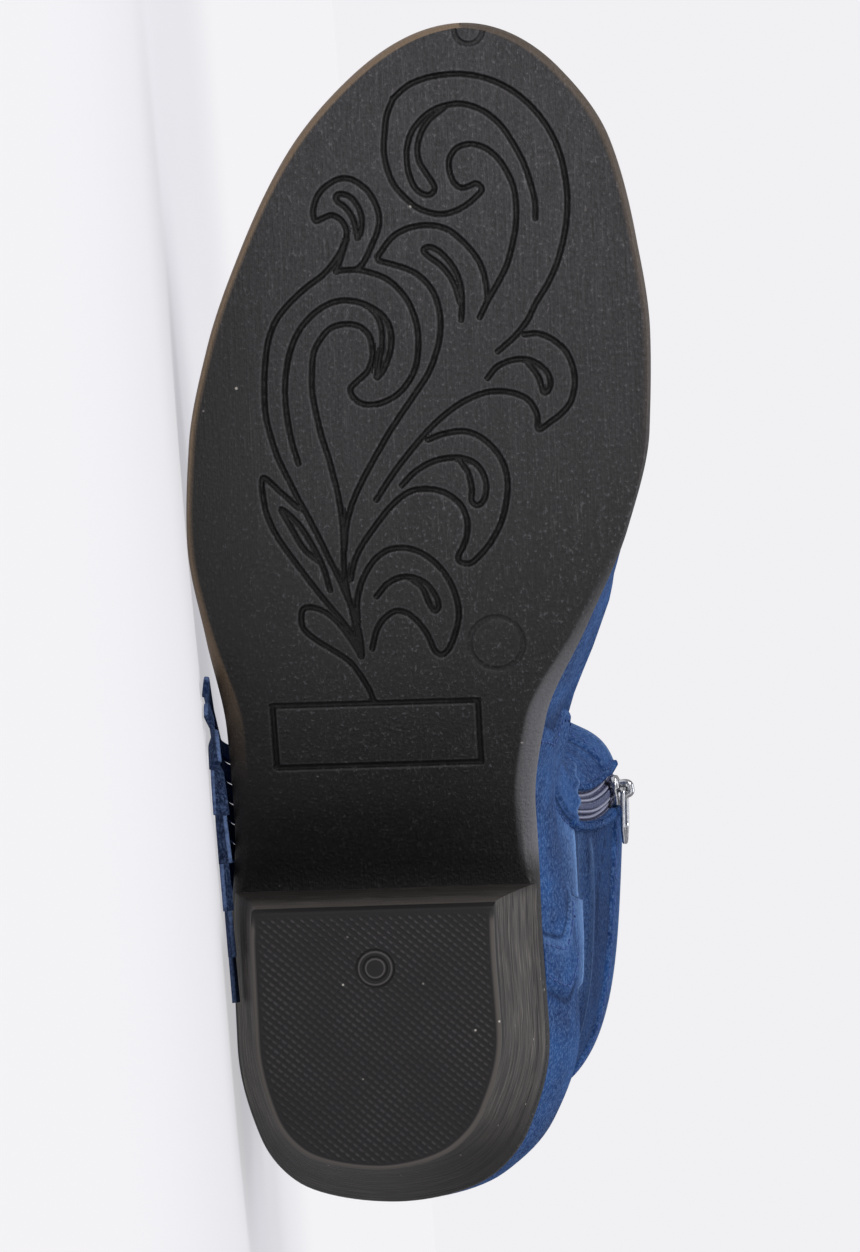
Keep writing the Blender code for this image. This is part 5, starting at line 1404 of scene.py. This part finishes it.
class Seams:
    """Rows of thread stitches on the upper."""

    def __init__(self, upper: Upper) -> None:
        """Keeps the upper that it lies on."""
        self.upper = upper

    def row(self, side: Side, start: tuple[float, float], end: tuple[float, float], length: float = 0.0021,
            pitch: float = 0.0031, thick: float = 0.00055) -> Surface:
        """Stitches at an even pitch along a straight line in place and level."""
        t = np.linspace(0, 1, 240)
        place, level = (a + (b - a) * t for a, b in zip(start, end))
        path, normal = self.upper.line(side, place, level, 0.0001)
        run = run_along(path)
        at = np.arange(pitch / 2, run[-1], pitch)
        centre = np.stack([np.interp(at, run, path[:, k]) for k in range(3)], 1)
        out = unit(np.stack([np.interp(at, run, normal[:, k]) for k in range(3)], 1))
        tangent = np.gradient(path, axis=0)
        along = unit(np.stack([np.interp(at, run, tangent[:, k]) for k in range(3)], 1))
        along = unit(along - out * (along * out).sum(1, keepdims=True))
        return beads(centre, along, out, (length, thick, thick), 6, 6)

    def build(self) -> Surface:
        """All rows: vamp seam, counter band, collar band and both sides of the zip."""
        z = self.upper.form.sizes
        edge = 0.40
        band = self.upper.form.band_level()
        rows = []
        for side in Side:
            rows.append(self.row(side, (z.vamp_seam - 0.008, 0.01), (z.vamp_seam - 0.008, edge)))
            for place in (Upper.BAND[0] + 0.006, Upper.BAND[1] - 0.006):
                rows.append(self.row(side, (place, 0.01), (place, 0.64)))
            rows.append(self.row(side, (0.01, band + 0.012), (0.40, band + 0.012)))
            rows.append(self.row(side, (0.60, band + 0.012), (0.99, band + 0.012)))
        rows.append(self.row(Side.INNER, (z.zip_front + 0.016, 0.50), (z.zip_front + 0.016, 0.985)))
        rows.append(self.row(Side.INNER, (z.vamp_seam - 0.012, 0.50), (z.vamp_seam - 0.012, 0.985)))
        return joined(rows)


class Guard:
    """Overlay that covers the foot of the zip and ends in a raw fuzzy edge."""

    PLACES = (0.405, 0.655)
    DEPTH = 0.235
    THICKNESS = 0.0024

    def __init__(self, upper: Upper) -> None:
        """Keeps the upper that it lies on."""
        self.upper = upper

    def build(self) -> Surface:
        """A thin closed sheet on the wall, tapered to nothing at its lower edge and its ends."""
        place, share = np.meshgrid(np.linspace(*self.PLACES, 90), np.linspace(0, 1, 60))
        edge = self.upper.edge(Side.INNER, place)
        level = edge - self.DEPTH * (1 - share)
        first, last = self.PLACES
        ends = smooth(place, first, first + 0.02) * smooth(place, last, last - 0.03)
        body = smooth(share, 0.0, 0.35) * (1 - 0.55 * smooth(share, 0.955, 1.0))
        wave = 0.0004 * np.sin(place * 95.0) * smooth(share, 0.6, 1.0)
        relief = self.upper.relief(Side.INNER, place, level)
        low = relief - 0.0001
        high = relief + 0.0001 + (self.THICKNESS + wave) * ends * body
        sheets = [self.upper.form.offset(-1, place, level, lift) for lift in (low, high)]
        fuzz = 0.95 * smooth(share, 0.90, 0.985)
        seam = self.upper.form.sizes.vamp_seam - 0.001
        dark = 0.6 * bell(place, seam, 0.0022) + 0.5 * bell(place, 0.585, 0.0022)
        values = {name: np.concatenate([v, v[:, ::-1]], 1) for name, v in (("fuzz", fuzz), ("dark", dark))}
        return swept(np.concatenate([sheets[0], sheets[1][:, ::-1]], 1), values)


class ZipBinding:
    """Rolled binding beside the zip with its whipped thread."""

    def __init__(self, upper: Upper) -> None:
        """Keeps the upper that it lies on."""
        self.upper = upper

    def build(self) -> Surface:
        """A cord along each edge of the slit, whipped with slanting thread."""
        z = self.upper.form.sizes
        level = np.linspace(0.690, 0.985, 120)
        pieces = []
        for place, radius in ((z.vamp_seam - 0.001, 0.0013), (z.zip_front + 0.003, 0.0009)):
            path, normal = self.upper.line(Side.INNER, np.full_like(level, place), level, 0.0002)
            cord = tube(path, normal, radius, 12)
            tangent = unit(np.gradient(path, axis=0))
            run = run_along(path)
            at = np.arange(0.0006, run[-1], 0.0016)
            pick = np.clip(np.searchsorted(run, at), 0, len(run) - 1)
            across = unit(np.cross(tangent[pick], normal[pick]) + 0.5 * tangent[pick])
            centre = path[pick] + normal[pick] * radius * 0.82
            pieces += [cord, beads(centre, across, normal[pick], (radius * 1.9, 0.0006, 0.0007), 6, 6)]
        return joined(pieces)


# zip


@dataclass(frozen=True)
class ZipSizes:
    """Zip in metres."""

    recess: float = 0.0005
    tape: float = 0.0009
    coil_width: float = 0.0042
    coil_height: float = 0.0010
    pitch: float = 0.0011
    slider_length: float = 0.0064
    slider_width: float = 0.0074
    slider_height: float = 0.0022
    pull_length: float = 0.0140
    pull_width: float = 0.0094
    pull_rim: float = 0.0012
    clearance: float = 0.00054
    foot: float = 0.004
    head: float = 0.003


class Zip:
    """Tape, coil, slider and pull in the slit of the upper."""

    def __init__(self, form: UpperForm, sizes: ZipSizes) -> None:
        """Keeps the upper's form and the zip's sizes."""
        self.form = form
        self.sizes = sizes

    def build_tape(self) -> Surface:
        """Tape that fills the slit; the value "rib" is the millimetres across it."""
        s = self.sizes
        level = np.linspace(self.form.sizes.zip_low + s.foot, 1 - s.head, 120)
        middle, across, _, out, width = self.form.slit(level)
        reach = (width / 2 - s.clearance)[:, None]
        share = np.concatenate([np.linspace(-1, 1, 80), np.linspace(1, -1, 80)])
        rib = share * reach * MM
        crest = s.coil_height * smooth(np.abs(rib), s.coil_width * MM / 2 + 0.3, s.coil_width * MM / 2 - 0.5)
        face = -s.recess + 0.8 * crest + 0.00018 * np.cos(rib * 2 * math.pi / ZipTapeCloth.PITCH)
        height = np.where(np.arange(len(share)) < len(share) // 2, face, -s.recess - s.tape)
        aside = across[:, None] * (share * reach)[..., None]
        points = middle[:, None] + aside + out[:, None] * height[..., None]
        stitch = smooth(level, 0.765, 0.745)[:, None] * (np.sin(level * 900)[:, None] > 0)
        return swept(points, {"rib": np.broadcast_to(rib, points.shape[:2]), "dark": 0.8 * stitch + 0 * rib})

    def build_coil(self) -> Surface:
        """Closed coil: bars from each side in turn, each a little past the middle."""
        s = self.sizes
        low, high = self.form.slit(np.array([0.505, 0.98]))[0]
        level = np.linspace(0.507, 0.985, int(np.linalg.norm(high - low) / s.pitch * 2.02))
        middle, across, _, out, _ = self.form.slit(level)
        side = np.where(np.arange(len(level)) % 2 == 0, 1, -1)[:, None]
        centre = middle + across * side * 0.00030 + out * (0.8 * s.coil_height - s.recess + 0.00012)
        return beads(centre, across, out, (0.0011, s.pitch * 0.66, 0.0006), 7, 8, 0.7)

    def heights(self) -> tuple[float, float, float]:
        """Slider's underside, its top and the pull's axis over the wall's face."""
        s, gap = self.sizes, self.form.sole.sizes.gap
        under = -s.recess + s.coil_height + gap
        top = under + s.slider_height
        return under, top, top + gap + s.pull_rim / 2

    def build_slider(self) -> Surface:
        """Slider body with soft edges, and its arched bridge."""
        s = self.sizes
        middle, across, up, out, _ = self.form.slit(np.array(self.form.sizes.slider_at))
        under, top, axis = self.heights()
        v = np.linspace(-1, 1, 17)
        u = turns(32)
        swell = (1 - np.abs(v) ** 6) ** (1 / 6)
        nose = 1 - 0.16 * smooth(v, 0.2, 1.0)
        w = (s.slider_width / 2) * np.maximum(swell * nose, 0.03)[:, None] * squared(np.cos(u), 0.42)
        tall = np.maximum(swell, 0.05)[:, None] * squared(np.sin(u), 0.5)
        h = s.slider_height / 2 * tall + (under + top) / 2
        along = v[:, None] * s.slider_length / 2 + 0 * u
        body = swept(middle + across * w[..., None] + out * h[..., None] + up * along[..., None])
        turn = np.linspace(0, math.pi, 25)
        inner = s.pull_rim / 2 + 0.00042 + 0.00045
        rise = axis - top + inner
        bow = middle + across * (inner * squared(np.cos(turn), 0.55))[:, None]
        bow = bow + out * (top - 0.0004 + (rise + 0.0004) * squared(np.sin(turn), 0.55))[:, None]
        arch = tube(bow, np.broadcast_to(up, bow.shape), 0.00095, 10)
        centre = bow.mean(0)
        offset = (arch.points - centre) @ up
        arch.points += (offset * 0.05)[:, None] * up
        return body.join(arch)

    def build_pull(self) -> Surface:
        """Pointed hexagonal ring with a round rim, from its pivot on the slider's bridge."""
        s = self.sizes
        middle, across, up, out, _ = self.form.slit(np.array(self.form.sizes.slider_at))
        axis = self.heights()[2]
        pivot = middle + out * axis
        lean = math.atan2(axis - s.pull_rim, s.pull_length * 1.15)
        along = -across * math.cos(lean) - out * math.sin(lean)
        rise = np.cross(up, along)
        rise = rise * np.sign(rise @ out)
        half = s.pull_width / 2 - s.pull_rim / 2
        reach = s.pull_length - s.pull_rim
        ring = np.array([(0.0, -1.0), (0.0, 1.0), (0.70, 1.0), (1.0, 0.30), (1.0, -0.30), (0.70, -1.0)])
        corners = ring * np.array([reach, half])
        path = []
        for k in range(6):
            here, before, after = corners[k], corners[k - 1], corners[(k + 1) % 6]
            t = np.linspace(0, 1, 7)[:, None]
            start = here + unit(before - here) * 0.0011
            end = here + unit(after - here) * 0.0011
            path.append((1 - t) ** 2 * start + 2 * t * (1 - t) * here + t * t * end)
        flat = np.concatenate(path)
        tangent = unit(np.roll(flat, -1, 0) - np.roll(flat, 1, 0))
        outward = np.stack([tangent[:, 1], -tangent[:, 0]], 1)
        turn = turns(16)
        wide = s.pull_rim / 2 * squared(np.cos(turn), 0.62)
        high = s.pull_rim / 2 * squared(np.sin(turn), 0.62)
        flat_ring = flat[:, None] + outward[:, None] * wide[None, :, None]
        points = pivot + flat_ring[..., :1] * along + flat_ring[..., 1:] * up + high[None, :, None] * rise
        rows, columns = points.shape[:2]
        faces = grid_faces(rows + 1, columns, True) % (rows * columns)
        return Surface(points.reshape(-1, 3), faces, {})


# fringe


@dataclass(frozen=True)
class FringeSizes:
    """Fringe in metres, and its header as places and levels on the outer ankle."""

    length: float = 0.1000
    width: float = 0.0040
    thickness: float = 0.0012
    header: float = 0.0014
    clearance: float = 0.00042
    back: float = 0.228
    front: float = 0.612
    low: float = 0.655
    high: float = 0.735


class Fringe:
    """Header sewn round the outer ankle, with its strips laid out on the floor."""

    # first heading, last heading, turn, roll, as in the CAD part
    LIE = (
        (-14.0, 84.0, 0.720, 10.0), (-14.4, 84.0, 0.765, -16.0), (-14.8, 84.0, 0.810, 22.0),
        (-15.2, 83.0, 0.855, -38.0), (-15.6, 80.0, 0.900, 46.0), (-16.0, 74.0, 0.945, -34.0),
        (-16.4, 60.0, 0.980, 18.0), (-16.8, 40.0, 1.000, -12.0),
    )
    STEPS = 70
    SQUARE = 0.35

    def __init__(self, form: UpperForm, sizes: FringeSizes) -> None:
        """Keeps the upper's form and the fringe's sizes."""
        self.form = form
        self.sizes = sizes

    def path(self, root: Array, lie: tuple) -> tuple[Array, Array, Array]:
        """Middle line in the row frame, with its roll and its share of sinking to the floor."""
        s, (first, last, turn, roll_end) = self.sizes, lie
        share = np.linspace(0, 1, self.STEPS)
        swing = smooth(share, turn - 0.12, turn + 0.12)
        heading = np.radians(first * np.clip(share / 0.12, 0, 1) + (last - first) * swing)
        middle = (heading[1:] + heading[:-1]) / 2
        step = s.length / (self.STEPS - 1)
        x = root[0] + np.concatenate([[0], np.cumsum(np.sin(middle))]) * step
        y = root[1] - np.concatenate([[0], np.cumsum(np.cos(middle))]) * step
        sink = smooth(share, 0, 0.30)
        roll = np.radians(roll_end) * np.clip((share - 0.62) / 0.38, 0, 1)
        rest = 0.0003 + s.thickness / 2 * np.cos(roll) + s.width / 2 * np.abs(np.sin(roll))
        return np.stack([x, y, root[2] + (rest - root[2]) * sink], 1), roll, sink

    def build(self) -> Surface:
        """Header as a thin shell over the wall, and the strips as rounded flat bars."""
        s, form = self.sizes, self.form
        count = len(self.LIE)
        fill = np.linspace(s.back, s.front, 200)
        edge = form.offset(1, fill, np.full(200, s.low), np.zeros(200))
        run = run_along(edge)
        slot = run[-1] / count
        spare = (1 - min(s.width / slot, 0.9)) * slot / run[-1] * (s.front - s.back)
        place, level = np.meshgrid(np.linspace(s.back, s.front - spare, 90), np.linspace(s.low, s.high, 12))
        near, far = (form.offset(1, place, level, np.full(place.shape, lift))
                     for lift in (s.clearance, s.clearance + s.header))
        seam = 0.7 * bell(np.concatenate([level, level], 1), s.high - 0.02, 0.002)
        header = swept(np.concatenate([near, far[:, ::-1]], 1), {"dark": seam})
        ends = np.array([[i * slot, i * slot + min(s.width, 0.9 * slot)] for i in range(count)])
        at = np.interp(ends, run, fill)
        pieces = [header]
        turn = turns(16)
        for pair, lie in zip(at, self.LIE):
            corner = [BOOT.place(form.offset(1, pair, np.full(2, s.low), np.full(2, lift)))
                      for lift in (s.clearance, s.clearance + s.header)]
            inside, outside = corner
            first = np.concatenate([outside, inside])
            path, roll, sink = self.path(first.mean(0), lie)
            tangent = unit(np.gradient(path, axis=0))
            away = unit(outside.mean(0) - inside.mean(0))
            face = away * (1 - sink[:, None]) + np.array([0, 0, -1.0]) * sink[:, None]
            wide = unit(np.cross(tangent, face))
            wide = wide * np.sign(wide[0] @ (outside[1] - outside[0]))
            face = np.cross(wide, tangent)
            face = face * np.sign(face[0] @ away)
            across = wide * np.cos(roll)[:, None] + face * np.sin(roll)[:, None]
            high = face * np.cos(roll)[:, None] - wide * np.sin(roll)[:, None]
            w = s.width / 2 * squared(np.cos(turn), self.SQUARE)
            h = s.thickness / 2 * squared(np.sin(turn), self.SQUARE)
            ring = path[:, None] + across[:, None] * w[None, :, None] + high[:, None] * h[None, :, None]
            cut = np.broadcast_to(smooth(np.abs(np.cos(turn)), 0.80, 0.98) * 0.8, ring.shape[:2])
            pieces.append(swept(BOOT.back(ring), {"fuzz": cut}))
        return joined(pieces)


# stage


@dataclass(frozen=True)
class Lamp:
    """Soft area light aimed at a point, both in the row frame."""

    name: str
    place: tuple[float, float, float]
    aim: tuple[float, float, float]
    size: tuple[float, float]
    power: float
    colour: str = "ffffff"


class Stage:
    """Pale floor, soft light and the photograph's camera."""

    BACKDROP = "f1f0f3"
    FLOOR = "9a999d"
    FLOOR_GLOW = 0.56
    FADE = (0.20, 0.60)
    WORLD = 0.42
    LAMPS = (
        Lamp("key", (-0.85, -1.05, 0.95), (0.0, -0.05, 0.05), (0.7, 0.7), 17.0),
        Lamp("fill", (0.55, -1.45, 0.75), (0.0, -0.05, 0.05), (1.2, 0.8), 4.0),
        Lamp("top", (0.15, 0.30, 1.45), (0.0, 0.0, 0.05), (1.0, 1.0), 7.0, "f4f7ff"),
    )
    CAMERA_AT = (-0.08380, 0.20027, -1.14125)
    CAMERA_AIM = (-0.01335, 0.13032, 0.00446)
    CAMERA_UP = (-0.0348, 0.9974, 0.0630)
    LENS = 155.415

    def build(self) -> None:
        """Everything that isn't the boot."""
        self.floor()
        self.backdrop()
        self.world()
        for lamp in self.LAMPS:
            self.light(lamp)
        self.camera()

    def floor(self) -> None:
        """Large floor whose far part takes on the backdrop's colour."""
        mesh = bpy.data.meshes.new("floor")
        reach = 30.0
        corners = [(-reach, -reach, 0), (reach, -reach, 0), (reach, reach, 0), (-reach, reach, 0)]
        mesh.from_pydata(corners, [], [(0, 1, 2, 3)])
        obj = stood("floor", mesh)
        g = Graph("floor", Roughness=0.9, Specular_IOR_Level=0.1)
        far = g.add(Node.LENGTH, g.add(Node.OBJECT))
        fade = g.add(Node.RAMP, far, *self.FADE)
        glow = g.add(Node.RAMP, far, *self.FADE, self.FLOOR_GLOW, 1.0)
        base = g.add(Node.MIX, fade, linear(self.FLOOR), (0, 0, 0, 1))
        mesh.materials.append(g.finish(Base_Color=base, Emission_Color=linear(self.BACKDROP),
                                       Emission_Strength=glow))

    def backdrop(self) -> None:
        """Far even shell behind everything, seen by the camera alone."""
        shell = bmesh.new()
        bmesh.ops.create_icosphere(shell, subdivisions=4, radius=28.0)
        mesh = bpy.data.meshes.new("backdrop")
        shell.to_mesh(mesh)
        shell.free()
        obj = stood("backdrop", mesh)
        g = Graph("backdrop", Base_Color=(0, 0, 0, 1), Specular_IOR_Level=0.0, Emission_Strength=1.0)
        mesh.materials.append(g.finish(Emission_Color=linear(self.BACKDROP)))
        obj.visible_diffuse = obj.visible_glossy = obj.visible_shadow = False

    def world(self) -> None:
        """Even pale surround."""
        world = bpy.data.worlds.new("surround")
        world.use_nodes = True
        background = world.node_tree.nodes["Background"]
        background.inputs["Color"].default_value = linear(self.BACKDROP)
        background.inputs["Strength"].default_value = self.WORLD
        bpy.context.scene.world = world

    def light(self, lamp: Lamp) -> None:
        """One area light."""
        data = bpy.data.lights.new(lamp.name, "AREA")
        data.shape = "RECTANGLE"
        data.size, data.size_y = lamp.size
        data.energy = lamp.power
        data.color = linear(lamp.colour)[:3]
        obj = stood(lamp.name, data)
        place, aim = np.array(lamp.place), np.array(lamp.aim)
        steep = abs(unit(place - aim)[2]) > 0.95
        obj.matrix_world = facing(place, aim, np.array([0.0, 1.0, 0.0] if steep else [0.0, 0.0, 1.0]))
        obj.visible_camera = False

    def camera(self) -> None:
        """The photograph's view, kept in the boot's frame and laid down with it."""
        place, aim = (BOOT.place(np.array(p)) for p in (self.CAMERA_AT, self.CAMERA_AIM))
        data = bpy.data.cameras.new("photo_camera")
        data.lens = self.LENS
        data.sensor_width = 36.0
        data.clip_end = 100.0
        obj = stood("photo_camera", data)
        obj.matrix_world = facing(place, aim, BOOT.turn @ np.array(self.CAMERA_UP))
        bpy.context.scene.camera = obj


# the boot


class Boot:
    """The whole boot, built piece by piece in a fixed order."""

    def __init__(self) -> None:
        """Starts the forms that the pieces share."""
        self.sole = SoleForm(SoleSizes())
        self.form = UpperForm(self.sole, UpperSizes())
        self.upper = Upper(self.form)
        self.zip = Zip(self.form, ZipSizes())

    def insole(self) -> Surface:
        """Padded sock on the insole board, clear of the wall, sunk a little at its rim."""
        wall, gap = self.form.sizes.wall, 0.00075
        place = np.linspace(0, 1, 401)
        edges = [self.form.offset(side.value, place, np.zeros(401), np.full(401, -wall)) for side in Side]
        y0, y1 = edges[0][0, 1] + gap, edges[0][-1, 1] - gap
        y = y0 + (y1 - y0) * (1 - np.cos(np.linspace(0, math.pi, 120))) / 2
        x_out, x_in = (np.interp(y, e[:, 1], e[:, 0]) for e in edges)
        half = np.maximum((x_out - x_in) / 2 - gap, 0)
        half[[0, -1]] = 0
        u = np.linspace(-1, 1, 30)
        top = self.sole.topside(y)[:, None] + self.sole.sizes.gap + 0.0025 - 0.0006 * np.abs(u) ** 6
        low = self.sole.topside(y)[:, None] + self.sole.sizes.gap + 0 * u
        x = ((x_out + x_in) / 2)[:, None] + u * half[:, None]
        along = np.broadcast_to(y[:, None], x.shape)
        ring = np.concatenate([np.stack([x, along, top], -1), np.stack([x, along, low], -1)[:, ::-1]], 1)
        return swept(ring)

    def build(self) -> None:
        """Builds and dresses every piece, each riding on its body."""
        suede = Suede("blue suede").material()
        navy = Suede("navy fringe suede", face="152444", deep="0a1124", pale="5a6d92",
                     seam="05070f").material()
        lining = Plain("leather lining", "b9a283", "a08a6c", 0.75, scale=0.5).material()
        thread = Plain("blue thread", "34579a", "1c3468", 0.7, scale=2.0).material()
        nickel = Plain("polished nickel", "c9cacd", "a9aaae", 0.22, 1.0, 1.2, 0.00002).material()
        dark_nylon = Plain("zip coil nylon", "4a5274", "252c4a", 0.45, scale=1.5).material()
        rubber = SoleRubber("sole rubber").material()
        build_object("outsole_moulded", Outsole(self.sole, Ornament()).build(), [rubber], ("outsole",),
                     sharp=50)
        heel = Heel(self.sole)
        build_object("heel_stack", heel.build(), [HeelStack("heel stack").material()], ("heel_block",),
                     sharp=50)
        build_object("heel_lift", heel.build_lift(), [LiftRubber("lift rubber").material()], ("top_lift",),
                     sharp=50)
        build_object("insole_sock", self.insole(), [lining], ("insole",), sharp=60)
        build_object("suede_upper", self.upper.build(), [suede, lining], ("upper",))
        build_object("seam_stitches", Seams(self.upper).build(), [thread])
        build_object("zip_binding", ZipBinding(self.upper).build(), [suede])
        build_object("quarter_guard", Guard(self.upper).build(), [suede])
        cloth = ZipTapeCloth("zip tape cloth").material()
        build_object("zip_tape_cloth", self.zip.build_tape(), [cloth], ("zip_tape",),
                     sharp=40)
        build_object("zip_coil", self.zip.build_coil(), [dark_nylon])
        build_object("zip_slider_body", self.zip.build_slider(), [nickel], ("zip_slider",),
                     sharp=60)
        build_object("zip_pull_ring", self.zip.build_pull(), [nickel], ("zip_pull",), "pull")
        build_object("fringe_strips", Fringe(self.form, FringeSizes()).build(), [navy], ("fringe",))


def main() -> None:
    """Builds the boot and the stage."""
    logging.basicConfig(level=logging.INFO)
    LOG.info("boot")
    Boot().build()
    LOG.info("stage")
    Stage().build()
    bpy.context.scene.view_settings.view_transform = "Standard"


if __name__ == "__main__":
    main()
